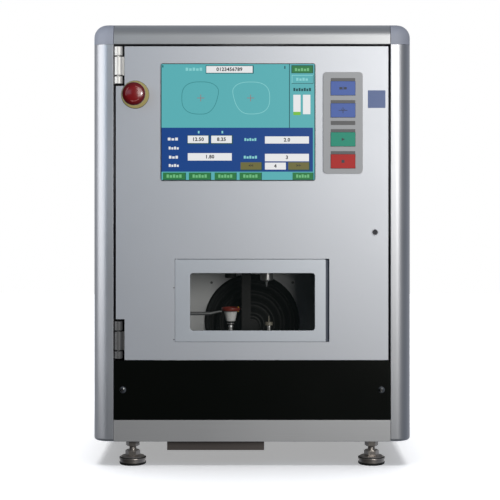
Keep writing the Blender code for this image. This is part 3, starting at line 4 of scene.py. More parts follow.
import bmesh
import bpy
import numpy as np
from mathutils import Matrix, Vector

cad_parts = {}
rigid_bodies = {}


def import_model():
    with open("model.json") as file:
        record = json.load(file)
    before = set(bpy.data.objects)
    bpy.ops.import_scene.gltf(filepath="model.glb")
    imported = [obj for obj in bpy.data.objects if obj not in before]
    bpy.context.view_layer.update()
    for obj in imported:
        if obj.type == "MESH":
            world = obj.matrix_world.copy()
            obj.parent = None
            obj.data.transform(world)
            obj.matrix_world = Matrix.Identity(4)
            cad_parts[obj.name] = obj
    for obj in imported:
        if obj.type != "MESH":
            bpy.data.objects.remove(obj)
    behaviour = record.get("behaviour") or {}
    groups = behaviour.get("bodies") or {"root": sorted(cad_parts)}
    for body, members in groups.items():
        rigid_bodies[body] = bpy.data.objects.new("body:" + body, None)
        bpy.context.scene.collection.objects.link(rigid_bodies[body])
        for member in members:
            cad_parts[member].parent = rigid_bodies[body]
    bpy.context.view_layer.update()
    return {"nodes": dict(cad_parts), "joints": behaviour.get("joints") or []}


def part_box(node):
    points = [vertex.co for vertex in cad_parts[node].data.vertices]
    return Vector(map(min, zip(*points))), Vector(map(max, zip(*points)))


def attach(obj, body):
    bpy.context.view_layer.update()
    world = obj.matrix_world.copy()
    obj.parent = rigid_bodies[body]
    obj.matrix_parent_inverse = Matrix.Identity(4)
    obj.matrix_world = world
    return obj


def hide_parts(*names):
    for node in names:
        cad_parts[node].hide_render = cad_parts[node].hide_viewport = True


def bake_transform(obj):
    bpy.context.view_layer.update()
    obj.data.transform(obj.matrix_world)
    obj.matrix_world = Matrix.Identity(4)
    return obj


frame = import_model()
mm = 0.001  # all shapes below are in millimetres, and newPiece turns them into metres
quarter = math.pi / 2
print("frame loaded:", len(frame["nodes"]), "nodes")


def boxOf(node):
    # A CAD node's lowest and highest corner
    low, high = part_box(node)
    return low / mm, high / mm


def jointPlace(name):
    # Where a joint stands at rest
    place = next(joint["pos_m"] for joint in frame["joints"] if joint["name"] == name)
    return [value / mm for value in place]


def pick(settings, *names):
    # The values of these settings, in this order
    return [settings[name] for name in names]


def placed(name, data, place=(0, 0, 0), turn=(0, 0, 0)):
    # A new object in the scene
    made = bpy.data.objects.new(name, data)
    made.location, made.rotation_euler = place, turn
    bpy.context.scene.collection.objects.link(made)
    return made


# Shader maths


class Socket:
    # One output of a node. Sums, differences, products and powers of sockets add their Math nodes.
    def __init__(self, tree, output=None):
        self.tree = tree
        self.output = output

    def feed(self, made, inputs):
        for key, value in inputs.items():
            if isinstance(value, Socket):
                self.tree.links.new(value.output, made.inputs[key])
            else:
                made.inputs[key].default_value = value

    def node(self, kind, settings, inputs, output=0):
        made = self.tree.nodes.new("ShaderNode" + kind)
        for key, value in settings.items():
            setattr(made, key, value)
        self.feed(made, inputs)
        return Socket(self.tree, made.outputs[output])

    def part(self, number):
        return Socket(self.tree, self.output.node.outputs[number])

    def maths(self, operation, first, second):
        return self.node("Math", {"operation": operation}, {0: first, 1: second})

    def __add__(self, other):
        return self.maths("ADD", self, other)

    def __radd__(self, other):
        return self.maths("ADD", other, self)

    def __sub__(self, other):
        return self.maths("SUBTRACT", self, other)

    def __rsub__(self, other):
        return self.maths("SUBTRACT", other, self)

    def __mul__(self, other):
        return self.maths("MULTIPLY", self, other)

    def __rmul__(self, other):
        return self.maths("MULTIPLY", other, self)

    def __pow__(self, other):
        return self.maths("POWER", self, other)


def scaled(colour, share):
    return tuple(min(1.0, value * share) for value in colour)


def colourMix(start, factor, low, high):
    inputs = {0: factor, 6: (*low, 1) if isinstance(low, tuple) else low, 7: (*high, 1)}
    return start.node("Mix", {"data_type": "RGBA"}, inputs, 2)


def newMaterial(name):
    # A material, the start of its expressions, its object coordinates and its shader
    material = bpy.data.materials.new(name)
    material.use_nodes = True
    start = Socket(material.node_tree)
    place = start.node("TexCoord", {}, {}, "Object")
    return material, start, place, material.node_tree.nodes["Principled BSDF"]


def newFinish(name, setting):
    # Grain is a noise stretched by its setting's three scales; cloud is a slow change of tone over the surface
    material, start, place, shader = newMaterial(name)
    colour, shift, share = pick(setting, "colour", "shift", "bodyShare")
    stretched = start.node("Mapping", {}, {"Vector": place, "Scale": setting["grain"]})
    grain = start.node("TexNoise", {}, {"Vector": stretched, "Scale": 1.0, "Detail": 3.0, "Roughness": 0.6})
    cloud = start.node("TexNoise", {}, {"Vector": place, "Scale": setting["cloudScale"], "Detail": 2.0})
    tone = 0.5 + (grain - 0.5) * setting["grainTone"] + (cloud - 0.5) * setting["cloudTone"]
    body = colourMix(start, tone, scaled(colour, (1 - shift) * share), scaled(colour, (1 + shift) * share))
    if "dimRim" in setting:
        # Painted shade, darker towards a turned part's rim: the share grows with the distance from its axis,
        # (dx^2 + dz^2)^(1/2)
        centreX, centreZ, near, far, most = setting["dimRim"]
        across = start.node("SeparateXYZ", {}, {"Vector": place})
        away = ((across - centreX) ** 2 + (across.part(2) - centreZ) ** 2) ** 0.5
        rim = start.node("MapRange", {}, {0: away, 1: near, 2: far, 3: 0.0, 4: most})
        body = colourMix(start, rim, body, scaled(colour, setting["rimTone"]))
    if "glow" in setting:
        # A lit display: fine rows of dots over an even colour
        rows = start.node("TexWave", {"bands_direction": "Z"}, {"Vector": place, "Scale": setting["dotRows"]})
        lit = scaled(colour, setting["glow"])
        dots = colourMix(start, rows, scaled(lit, 1 - setting["dotShare"]), lit)
        start.feed(shader, {"Emission Color": dots, "Emission Strength": 1.0})
    bump = {"Strength": setting["bump"], "Distance": setting["bumpDepth"], "Height": grain}
    start.feed(shader, {
        "Base Color": body,
        "Roughness": setting["roughness"] + (cloud - 0.5) * setting["roughShift"],
        "Normal": start.node("Bump", {}, bump),
        "Metallic": setting["metallic"],
        "Coat Weight": setting["coat"],
        "Coat Roughness": setting["coatRoughness"],
        "Specular IOR Level": setting["specular"],
        "Alpha": setting["alpha"],
    })
    return material


plainFinish = {
    "bump": 0.15, "bumpDepth": 0.0002, "shift": 0.1, "grainTone": 0.5, "cloudTone": 0.5, "cloudScale": 9.0,
    "roughShift": 0.06, "coat": 0.0, "coatRoughness": 0.1, "specular": 0.5, "alpha": 1.0, "bodyShare": 1.0,
}


def finish(colour, metallic, roughness, grain, **changes):
    # One number for the grain is the same scale along X, Y and Z
    scales = grain if isinstance(grain, tuple) else (grain,) * 3
    named = {"colour": colour, "metallic": metallic, "roughness": roughness, "grain": scales}
    return {**plainFinish, **named, **changes}


paint = {"bump": 0.1, "grainTone": 0.9, "shift": 0.07, "cloudTone": 0.2}
keyFace = {"specular": 0.3, "bump": 0.1, "shift": 0.06}
screen = {"specular": 0.2, "glow": 0.95, "dotRows": 300.0, "dotShare": 0.06, "bump": 0.0, "bodyShare": 0.04}
stopX, _, stopZ = jointPlace("estop_twist")
finishes = {
    "columnAluminium": finish((0.445, 0.456, 0.485), 0.85, 0.41, (1400, 1400, 9), bump=0.12),
    "beamAluminium": finish((0.375, 0.385, 0.402), 0.66, 0.40, (9, 1400, 1400), bump=0.12),
    # A lighter copy of the beam aluminium for the base beam: painted light from the floor's bounce
    "baseAluminium": finish((0.58, 0.59, 0.61), 0.55, 0.42, (9, 1400, 1400), bump=0.12),
    "sideAluminium": finish((0.60, 0.61, 0.63), 0.78, 0.38, (1400, 9, 1400), bump=0.12),
    "capPlastic": finish((0.31, 0.331, 0.400), 0.0, 0.62, 1800, bump=0.3),
    "silverPaint": finish((0.590, 0.610, 0.657), 0.55, 0.48, 2600, **paint),
    # A lighter, bluer copy of the door's silver paint for the window plate: painted light, as the plate catches
    # more light from above
    "windowPaint": finish((0.61, 0.645, 0.70), 0.5, 0.44, 2600, **paint),
    "blackGloss": finish(
        (0.003, 0.004, 0.003), 0.0, 0.2, 60, bump=0.02, coat=0.25, coatRoughness=0.08, specular=0.3
    ),
    "sheetSteel": finish((0.17, 0.17, 0.165), 0.7, 0.45, (30, 900, 900), shift=0.2),
    "traySteel": finish((0.115, 0.10, 0.095), 0.4, 0.45, (12, 900, 900), shift=0.2),
    # A darker copy of the hinge steel for the lower hinge: painted shade
    "dullSteel": finish((0.105, 0.107, 0.11), 0.5, 0.45, (900, 900, 40), bump=0.08),
    "spindleSteel": finish((0.62, 0.62, 0.62), 0.8, 0.3, 700, bump=0.02, shift=0.06),
    # Dark blue-grey for the strip behind the window's finger gap: painted shade
    "gapSteel": finish((0.095, 0.110, 0.145), 0.3, 0.5, (900, 900, 30), shift=0.15),
    "brightSteel": finish((0.72, 0.72, 0.71), 0.45, 0.5, (900, 900, 40), bump=0.08),
    "chrome": finish((0.86, 0.86, 0.86), 1.0, 0.16, 500, bump=0.02, shift=0.04),
    "lockSteel": finish((0.035, 0.036, 0.042), 0.8, 0.35, 900, shift=0.2),
    "darkPlastic": finish((0.022, 0.023, 0.024), 0.0, 0.5, 1600, bump=0.25),
    "greyPlastic": finish((0.44, 0.447, 0.465), 0.0, 0.5, 1600, bump=0.1, shift=0.05),
    "blueKey": finish((0.102, 0.175, 0.52), 0.0, 0.5, 1600, **keyFace),
    "greenKey": finish((0.026, 0.355, 0.235), 0.0, 0.5, 1600, **keyFace),
    "redKey": finish((0.55, 0.024, 0.022), 0.0, 0.5, 1600, **keyFace),
    "keyInk": finish((0.035, 0.04, 0.06), 0.0, 0.5, 1600, bump=0.0),
    "stripInk": finish((0.13, 0.13, 0.135), 0.0, 0.5, 1600, bump=0.0),
    "blueEnamel": finish((0.165, 0.225, 0.44), 0.0, 0.5, 700, bump=0.05, coat=0.05, specular=0.25),
    "stopYellow": finish((0.50, 0.42, 0.15), 0.0, 0.42, 1600, bump=0.12, shift=0.06),
    # The red head darkens towards its rim: painted shade
    "stopRed": finish(
        (0.27, 0.011, 0.014), 0.0, 0.25, 400, bump=0.03, coat=0.3, coatRoughness=0.04,
        dimRim=(stopX * mm, stopZ * mm, 8.5 * mm, 16.5 * mm, 0.75), rimTone=0.1,
    ),
    "stopMark": finish((0.42, 0.12, 0.11), 0.0, 0.4, 900, bump=0.0),
    "clearPane": finish((0.03, 0.04, 0.04), 0.0, 0.06, 20, bump=0.0, alpha=0.07, roughShift=0.02),
    "linerPaint": finish((0.74, 0.76, 0.77), 0.2, 0.5, 1200, bump=0.12),
    "stageMetal": finish((0.0115, 0.012, 0.0118), 0.5, 0.48, (900, 900, 30), shift=0.2),
    "blackRubber": finish((0.009, 0.010, 0.0095), 0.0, 0.62, 600, specular=0.35, bump=0.3, shift=0.3),
    "tubeSteel": finish((0.24, 0.25, 0.25), 0.7, 0.34, (30, 900, 900), bump=0.02, shift=0.06),
    "satinChrome": finish((0.88, 0.88, 0.87), 0.8, 0.28, 700, bump=0.02, shift=0.04),
    "feelerPlastic": finish((0.22, 0.205, 0.165), 0.0, 0.4, 1600, bump=0.08),
    "whitePlastic": finish((0.72, 0.73, 0.72), 0.0, 0.4, 1600, bump=0.08, shift=0.05),
    "orangeRed": finish((0.19, 0.024, 0.015), 0.0, 0.4, 1600, bump=0.1),
    "brass": finish((0.62, 0.36, 0.08), 1.0, 0.3, 900),
    "screwSteel": finish((0.34, 0.34, 0.33), 1.0, 0.2, 900),
    "footSteel": finish((0.37, 0.342, 0.322), 0.75, 0.30, 900, shift=0.25, cloudScale=60.0),
}
screenColours = {
    "Teal": (0.105, 0.435, 0.465), "Blue": (0.010, 0.058, 0.245), "White": (0.82, 0.83, 0.84),
    "Green": (0.030, 0.190, 0.060), "Olive": (0.160, 0.150, 0.050), "Dark": (0.010, 0.075, 0.085),
    "Ink": (0.030, 0.030, 0.035), "Pale": (0.250, 0.640, 0.640), "Red": (0.330, 0.160, 0.150),
    "Lime": (0.190, 0.520, 0.060), "Mint": (0.165, 0.500, 0.220), "Shade": (0.035, 0.225, 0.240),
}
for name, colour in screenColours.items():
    finishes["screen" + name] = finish(colour, 0.0, 0.35, 900, **screen)
materials = {name: newFinish(name, setting) for name, setting in finishes.items()}
print("materials made:", len(materials))


# Surfaces

cornerSigns = ((1, 1), (-1, 1), (-1, -1), (1, -1))  # an outline's corners, from the upper right anticlockwise


def laid(a, b, along, axis):
    # An outline's two coordinates and the length along the axis, as points in space
    order = {"X": (along, a, b), "Y": (a, along, b), "Z": (a, b, along)}[axis]
    return np.stack(np.broadcast_arrays(*order), -1)


def quarterRound(radius, steps):
    # The legs of a quarter circle, radius (1 - cos t) and radius (1 - sin t), for t from 0 to a quarter turn
    turns = np.linspace(0, quarter, steps + 1)
    return radius * (1 - np.cos(turns)), radius * (1 - np.sin(turns))


def outlineOf(low, high, radii, steps):
    # A rectangle whose corners are quarter circles of these radii
    turns = np.linspace(0, quarter, steps + 1)
    rows = []
    for step, ((signA, signB), radius) in enumerate(zip(cornerSigns, radii)):
        centreA = high[0] - radius if signA > 0 else low[0] + radius
        centreB = high[1] - radius if signB > 0 else low[1] + radius
        angle = turns + step * quarter
        rows.append(np.stack([centreA + radius * np.cos(angle), centreB + radius * np.sin(angle)], 1))
    return np.concatenate(rows)


def outlineStack(low, high, radii, stations, axis, steps=6, shares=(1, 1, 1, 1), least=0.02):
    # A rounded rectangle at each station along the axis, drawn in there by the station's inset.
    # The shares say how much of the inset reaches the sides low a, low b, high a and high b.
    rows = []
    for along, inset in stations:
        lowIn = (low[0] + inset * shares[0], low[1] + inset * shares[1])
        highIn = (high[0] - inset * shares[2], high[1] - inset * shares[3])
        points = outlineOf(lowIn, highIn, [max(radius - inset, least) for radius in radii], steps)
        rows.append(laid(points[:, 0], points[:, 1], along, axis))
    return np.stack(rows)


def plateGrid(low, high, radii, axis, edge=0.3, steps=6, rim=3, finish=0):
    # A box drawn along the axis, with these radii at its long edges. Its other edges are quarter circles: near
    # each end the outline is drawn in by edge times 1 - sin.
    number = "XYZ".index(axis)
    rise, inset = quarterRound(edge, rim)
    stations = [*zip(low[number] + rise, inset), *zip(high[number] - rise[::-1], inset[::-1])]
    radii = radii if isinstance(radii, list) else [radii] * 4
    points = outlineStack(np.delete(low, number), np.delete(high, number), radii, stations, axis, steps)
    return {"points": points, "finish": finish}


def frameGrid(low, high, radius, holeLow, holeHigh, holeRadius, edge):
    # A slab along Y with a hole: its section runs round the outer edge, over the front and round the hole's edge
    inset, rise = quarterRound(edge, 3)
    stations = [(high[1], 0.0), *zip(low[1] + rise, inset)]
    inward = [(along, -inset) for along, inset in stations[::-1]]
    outer = outlineStack((low[0], low[2]), (high[0], high[2]), [radius] * 4, stations, "Y", least=0.05)
    hole = outlineStack(holeLow, holeHigh, [holeRadius] * 4, inward, "Y")
    return {"points": np.concatenate([outer, hole]), "closed": True}


def turnedGrid(profile, centre, axis, steps=48, flats=None, base=0.0, sign=1, closed=False, finish=0):
    # A profile of (radius, along) pairs turned about the axis through centre; along is counted from base, and
    # backwards where sign is -1. Where flats gives a half width, the radius is cut to a hexagon: the half width
    # over the cosine of the angle from the nearest flat's middle.
    profile = np.array(profile, float)
    turns = np.linspace(0, 2 * math.pi, steps, endpoint=False)[None, :]
    radius = np.repeat(profile[:, :1], steps, 1)
    if flats is not None:
        sector = turns % (math.pi / 3) - math.pi / 6
        radius = np.minimum(radius, np.array(flats, float)[:, None] / np.cos(sector))
    first, second = {"X": (1, 2), "Y": (0, 2), "Z": (0, 1)}[axis]
    a = centre[first] + radius * np.cos(turns)
    b = centre[second] + radius * np.sin(turns)
    return {"points": laid(a, b, base + sign * profile[:, 1:], axis), "closed": closed, "finish": finish}


def rod(radius, low, high):
    # The profile of a plain cylinder
    return [(0, low), (radius, low), (radius, high), (0, high)]


def tubeGrid(path, radii, steps):
    # A circle carried along a path in the XZ plane, square to the path's tangent
    tangent = np.gradient(path, axis=0)
    tangent /= np.linalg.norm(tangent, axis=1, keepdims=True)
    aside = np.cross(tangent, (0.0, 1.0, 0.0))
    aside /= np.linalg.norm(aside, axis=1, keepdims=True)
    above = np.cross(aside, tangent)
    turns = np.linspace(0, 2 * math.pi, steps, endpoint=False)[None, :, None]
    ring = np.cos(turns) * aside[:, None] + np.sin(turns) * above[:, None]
    return {"points": path[:, None] + radii[:, None, None] * ring}


def ribbonGrid(a, b, width, front, back, finish):
    # A flat band along a closed curve in the XZ plane: each point moves half the width along the curve's normal
    stepA = np.roll(a, -1) - np.roll(a, 1)
    stepB = np.roll(b, -1) - np.roll(b, 1)
    length = np.hypot(stepA, stepB)
    normalA, normalB = stepB / length * width / 2, -stepA / length * width / 2
    sides = ((-1, back), (-1, front), (1, front), (1, back))
    rows = [laid(a + side * normalA, b + side * normalB, along, "Y") for side, along in sides]
    return {"points": np.stack(rows), "closed": True, "finish": finish}


def gridFaces(rows, columns, closed):
    # The four corners of each cell; columns always meet, and rows do where the section is closed
    row = np.arange(rows if closed else rows - 1)[:, None] * columns
    nextRow = (row + columns) % (rows * columns)
    column = np.arange(columns)[None, :]
    nextColumn = (column + 1) % columns
    cell = (row + column, row + nextColumn, nextRow + nextColumn, nextRow + column)
    return np.stack(np.broadcast_arrays(*cell), -1).reshape(-1, 4)


def newPiece(name, body, slot, grids, finishNames, **handling):
    # All the grids of a piece as one mesh; an open grid's first and last rows are closed by a face
    points, faces, kinds, first = [], [], [], 0
    for grid in grids:
        shape, closed = grid["points"], grid.get("closed", False)
        rows, columns = shape.shape[:2]
        added = (gridFaces(rows, columns, closed) + first).tolist()
        for row in () if closed else (0, rows - 1):
            if np.ptp(shape[row], axis=0).max() > 0.001:
                added.append(list(range(first + row * columns, first + (row + 1) * columns)))
        faces += added
        kinds += [grid.get("finish", 0)] * len(added)
        points.append(shape.reshape(-1, 3) * mm)
        first += rows * columns
    mesh = bpy.data.meshes.new(name)
    mesh.from_pydata(np.concatenate(points).tolist(), [], faces)
    mesh.polygons.foreach_set("material_index", np.array(kinds, np.int32))
    return settledPiece(name, mesh, body, slot, finishNames, **handling)


def settledPiece(name, mesh, body, slot, finishNames, replaces=(), sharp=28, flatFaces=True):
    # Merges doubles, turns the faces outwards, smooths all but the sharp edges, and hands the piece to its body
    shape = bmesh.new()
    shape.from_mesh(mesh)
    bmesh.ops.remove_doubles(shape, verts=shape.verts, dist=0.002 * mm)
    bmesh.ops.recalc_face_normals(shape, faces=shape.faces)
    shape.to_mesh(mesh)
    shape.free()
    mesh.shade_smooth()
    mesh.set_sharp_from_angle(angle=math.radians(sharp))
    for finishName in finishNames:
        mesh.materials.append(materials[finishName])
    piece = placed(name, mesh)
    if body:
        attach(piece, body)
    if flatFaces:
        # Large flat faces keep their own normal, so only the rounded edges shade softly
        weighted = piece.modifiers.new("flatFaces", "WEIGHTED_NORMAL")
        weighted.keep_sharp = True
        weighted.weight = 80
    if replaces:
        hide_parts(*replaces)
    return piece


def dressedPiece(node, body, slot, grids, finishNames):
    # A new piece that stands in for a CAD node
    newPiece(f"{node}_dressed", body, slot, grids, finishNames, replaces=[node])


def dress(finishName, *nodeNames):
    # A CAD node keeps its shape and gets this finish
    for nodeName in nodeNames:
        data = frame["nodes"][nodeName].data
        data.materials.clear()
        data.materials.append(materials[finishName])
        data.polygons.foreach_set("material_index", np.zeros(len(data.polygons), np.int32))


# Cabinet frame: columns, caps and beams with softly rounded edges

cabinet = {
    "topRadius": 17.5, "planRadius": 21.5, "edge": 0.5, "columnEdge": 0.1, "capEdge": 0.05, "footRound": 4,
    "arcSteps": 14, "beamEdge": 0.2, "beamGap": 0.3,
}
hands = (("left", -1), ("right", 1))
corners = [
    (f"{row}_{hand}", signX, signY) for row, signY in (("front", -1), ("rear", 1)) for hand, signX in hands
]


def cornerRadii(signA, signB, radius):
    # The large radius goes to the corner that faces outwards
    return [radius if (signA, signB) == signs else cabinet["edge"] for signs in cornerSigns]


def framePieces():
    steps = cabinet["arcSteps"]
    for corner, signX, signY in corners:
        radii = cornerRadii(signX, signY, cabinet["planRadius"])
        shares = (signX < 0, signY < 0, signX > 0, signY > 0)

        node = f"column_{corner}"
        low, high = boxOf(node)
        rise, inset = quarterRound(cabinet["footRound"], 5)
        stations = [*zip(low.z + rise, inset), (high.z, 0.0)]
        points = outlineStack(low, high, radii, stations, "Z", steps, shares, cabinet["columnEdge"])
        dressedPiece(node, "cabinet", "satin_aluminium", [{"points": points}], ["columnAluminium"])

        node = f"corner_cap_{corner}"
        low, high = boxOf(node)
        inset, drop = quarterRound(cabinet["topRadius"], steps)
        stations = [(low.z, 0.0), *zip(high.z - drop, inset)]
        points = outlineStack(low, high, radii, stations, "Z", steps, shares, cabinet["capEdge"])
        dressedPiece(node, "cabinet", "cap_plastic", [{"points": points}], ["capPlastic"])

    for node, finishName, axis, outward, gap, count in (
        ("top_beam_front", "beamAluminium", "X", (-1, 1), cabinet["beamGap"], steps),
        ("top_beam_left", "sideAluminium", "Y", (-1, 1), 0, steps),
        ("top_beam_right", "sideAluminium", "Y", (1, 1), 0, steps),
        # the base beam's lighter aluminium is painted light from the floor's bounce
        ("base_beam_front", "baseAluminium", "X", (0, 0), 0, 3),
    ):
        low, high = boxOf(node)
        ends = Vector((gap, 0, 0))
        radii = cornerRadii(*outward, cabinet["topRadius"])
        grid = plateGrid(low + ends, high - ends, radii, axis, cabinet["beamEdge"], count)
        dressedPiece(node, "cabinet", "satin_aluminium", [grid], [finishName])


framePieces()
dress("silverPaint", "side_panel_left", "side_panel_right", "rear_panel", "top_panel")
dress("blackGloss", "lower_front_panel")
dress("sheetSteel", "base_pan", "lock_keeper", "power_supply")
dress("traySteel", "chip_tray")
dress("darkPlastic", "power_inlet")
print("cabinet frame dressed")


# Button screws with hexagon sockets, on the lower front panel and round the other panels

screws = {
    "front": {"radius": 4.5, "height": 2.6, "socket": 1.5, "depth": 1.3},
    "panel": {"radius": 3.4, "height": 1.3, "socket": 1.1, "depth": 0.9},
    "wall": {"radius": 1.9, "height": 1.2, "socket": 0.8, "depth": 0.3},
    "flatShare": 0.42, "domeFall": 0.85, "socketSpread": 1.1, "lipShare": 0.95, "steps": 36,
    "shank": 2.3, "tip": 1.8, "tipLength": 0.4, "fromSide": 12, "fromEnd": 10,
}


def screwGrid(centre, axis, outward, seat, size):
    # Dome: the height falls from the crown with the square of the radius. The socket is a hexagonal well.
    radius, height, socket, depth = pick(screws[size], "radius", "height", "socket", "depth")
    spread, floor = socket * screws["socketSpread"], height - depth
    well = [(0, floor), (spread, floor), (spread, height * screws["lipShare"])]
    shares = np.linspace(screws["flatShare"], 1.0, 6)
    dome = [*zip(radius * shares, height * (1 - shares**2 * screws["domeFall"]))]
    flats = [socket] * len(well) + [math.inf] * (len(dome) + 2)
    profile = [*well, *dome, (radius, 0), (0, 0)]
    return turnedGrid(profile, centre, axis, screws["steps"], flats, seat, outward)


def screwPieces():
    shank, tip, fromSide, fromEnd = pick(screws, "shank", "tip", "fromSide", "fromEnd")
    for hand, _ in hands:
        node = f"panel_screw_{hand}"
        low, high = boxOf(node)
        centre = (low + high) / 2
        seat = low.y + screws["front"]["height"]
        profile = [(0, seat), (shank, seat), (shank, high.y - screws["tipLength"]), (tip, high.y), (0, high.y)]
        grids = [screwGrid(centre, "Y", -1, seat, "front"), turnedGrid(profile, centre, "Y", 24)]
        dressedPiece(node, "cabinet", "chrome", grids, ["screwSteel"])

    grids = []
    for hand, sign in hands:
        low, high = boxOf(f"side_panel_{hand}")
        for y in (low.y + fromSide, (low.y + high.y) / 2, high.y - fromSide):
            for z in (low.z + fromEnd, high.z - fromEnd):
                grids.append(screwGrid((0, y, z), "X", sign, high.x if sign > 0 else low.x, "panel"))
    low, high = boxOf("rear_panel")
    for x in (low.x + fromEnd, 0, high.x - fromEnd):
        for z in (low.z + fromEnd, high.z - fromEnd):
            grids.append(screwGrid((x, 0, z), "Y", 1, high.y, "panel"))
    newPiece("cabinet_screws", "cabinet", "chrome", grids, ["brightSteel"])


screwPieces()
print("screws made")


# Levelling feet: steel pad on a rubber sole, hexagon, stud and lock nut

foot = {
    "pad": 18.5, "rimTop": 9.6, "bead": 1.1,
    "padLow": [(0, 3.2), (17.6, 3.2), (17.6, 6.74), (18.5, 7.18)],
    "padTop": [(15.5, 11.3), (14.7, 11.6), (0, 11.6)],
    "sole": [(0, 0), (17.1, 0), (18.1, 0.8), (18.3, 3.2), (0, 3.2)],
    "collar": [(15.3, 9.6), (18.2, 9.1), (18.4, 9.4), (17.6, 10.0), (15.3, 10.4)],
    "flat": 8.0, "hexProud": 0.8, "hexLow": 11.4, "hexTop": 19.2, "faceShare": 0.98, "slope": 0.6, "nutGap": 0.3,
    "stud": 5.0, "studTip": 0.6, "sunk": 1, "threadPitch": 1.5, "threadDepth": 0.35, "threadEnd": 0.5,
}


def nutProfile(bottom, top, flat, bore=0):
    # A hexagon whose corners are turned off at both ends, and the half widths of its flats
    corner, face = flat / math.cos(math.pi / 6), flat * foot["faceShare"]
    slope = (corner - face) * foot["slope"]
    lower = [(bore, bottom), (face, bottom), (corner, bottom + slope)]
    upper = [(corner, top - slope), (face, top), (bore, top)]
    return lower + upper, [math.inf, flat, flat, flat, flat, math.inf]


def footPieces():
    # The thread's outline steps in and out by its depth, twice in each pitch
    radius, hexTop, flat, stud, tip = pick(foot, "pad", "hexTop", "flat", "stud", "studTip")
    inset, drop = quarterRound(foot["bead"], 5)
    pad = [*foot["padLow"], *zip(radius - inset, foot["rimTop"] - drop), *foot["padTop"]]
    hexagon, hexFlats = nutProfile(foot["hexLow"], hexTop, flat + foot["hexProud"])
    for corner, _, _ in corners:
        name = f"foot_{corner}"
        low, high = boxOf(name)
        centre = (low + high) / 2
        heights = np.arange(hexTop, high.z - foot["threadEnd"], foot["threadPitch"] / 2)
        radii = stud - np.arange(len(heights)) % 2 * foot["threadDepth"]
        thread = [(0, hexTop - foot["sunk"]), *zip(radii, heights), (stud - tip, high.z), (0, high.z)]
        grids = [
            turnedGrid(pad, centre, "Z", 56),
            turnedGrid(foot["collar"], centre, "Z", 56, closed=True, finish=1),
            turnedGrid(foot["sole"], centre, "Z", 56, finish=1),
            turnedGrid(hexagon, centre, "Z", 48, hexFlats),
            turnedGrid(thread, centre, "Z", 28),
        ]
        dressedPiece(name, name, "foot_steel", grids, ["footSteel", "blackRubber"])

        nut = f"lock_nut_{corner}"
        low, high = boxOf(nut)
        profile, flats = nutProfile(low.z, high.z, flat, stud + foot["nutGap"])
        grid = turnedGrid(profile, (low + high) / 2, "Z", 48, flats, closed=True)
        dressedPiece(nut, "cabinet", "foot_steel", [grid], ["footSteel"])


footPieces()
print("feet made")


# Door, its hinges, window, lock and plain plate

dress("silverPaint", "door_panel")
doorFront = boxOf("door_panel")[0].y

hinge = {
    "radius": 5.9, "round": 0.9, "lower": 10.1, "middle": 25.3, "top": 12.6, "gap": 1.5,
    "leaf": 2.0, "leafBack": 1.8, "corner": 0.3, "edge": 0.2, "pin": 2.5, "pinEnd": 2,
}


def knuckle(x, y, bottom, top):
    # A barrel with rounded ends
    rise, inset = quarterRound(hinge["round"], 4)
    radii = hinge["radius"] - inset
    profile = [(0, bottom), *zip(radii, bottom + rise), *zip(radii[::-1], top - rise[::-1]), (0, top)]
    return turnedGrid(profile, (x, y, 0), "Z", 40)


def leafPlate(x, y, z, endX, endY, endZ):
    # A flat of sheet steel with softly rounded edges
    return plateGrid((x, y, z), (endX, endY, endZ), hinge["corner"], "Z", hinge["edge"], 3)


def hingePieces():
    x, y, _ = jointPlace("door_swing")
    leaf, plateFront = hinge["leaf"], y + hinge["radius"] + hinge["gap"]
    # The lower hinge gets a darker copy of the upper hinge's steel: painted shade
    for place, steel in (("upper", "brightSteel"), ("lower", "dullSteel")):
        node = f"hinge_{place}_frame_leaf"
        low, high = boxOf(node)
        bottom, top = low.z, high.z
        ends = (bottom, bottom + hinge["lower"]), (top - hinge["top"], top)
        pin = rod(hinge["pin"], bottom + hinge["pinEnd"], top - hinge["pinEnd"])
        grids = [
            leafPlate(low.x, plateFront, bottom, low.x + leaf, high.y, top),
            *(knuckle(x, y, *end) for end in ends),
            turnedGrid(pin, (x, y, 0), "Z", 24),
            *(leafPlate(low.x, y, end[0], low.x + leaf, plateFront + leaf, end[1]) for end in ends),
        ]
        dressedPiece(node, "cabinet", "bright_steel", grids, [steel])

        node = f"hinge_{place}_door_leaf"
        low, high = boxOf(node)
        middleTop = top - hinge["top"] - hinge["gap"]
        middleLow = middleTop - hinge["middle"]
        leafFront = doorFront + hinge["leafBack"]
        plate = leafPlate(x, leafFront, middleLow, high.x, leafFront + leaf, middleTop)
        dressedPiece(node, "door", "bright_steel", [knuckle(x, y, middleLow, middleTop), plate], [steel])


hingePieces()

window = {
    "margin": 6, "holeRadius": 4, "corner": 0.5, "edge": 0.5, "thick": 3, "left": 0.4, "bottom": 1.85, "top": 2.9,
    "pin": 1, "pinInside": 1, "dots": ((-106.6, 242.8), (-106.6, 172.1)),
    "dot": [(0, -0.5), (0.8, -0.5), (0.8, 0.1), (0.48, 0.2), (0, 0.22)],
    "stopLeft": 204.4, "stopRight": 7.5, "stopBack": 5.5, "stopCorner": 0.5,
    "headLeft": 1, "headTop": 1.7, "headBack": 4.4, "headCorner": 0.3, "strip": 1, "stripEdge": 0.2,
}


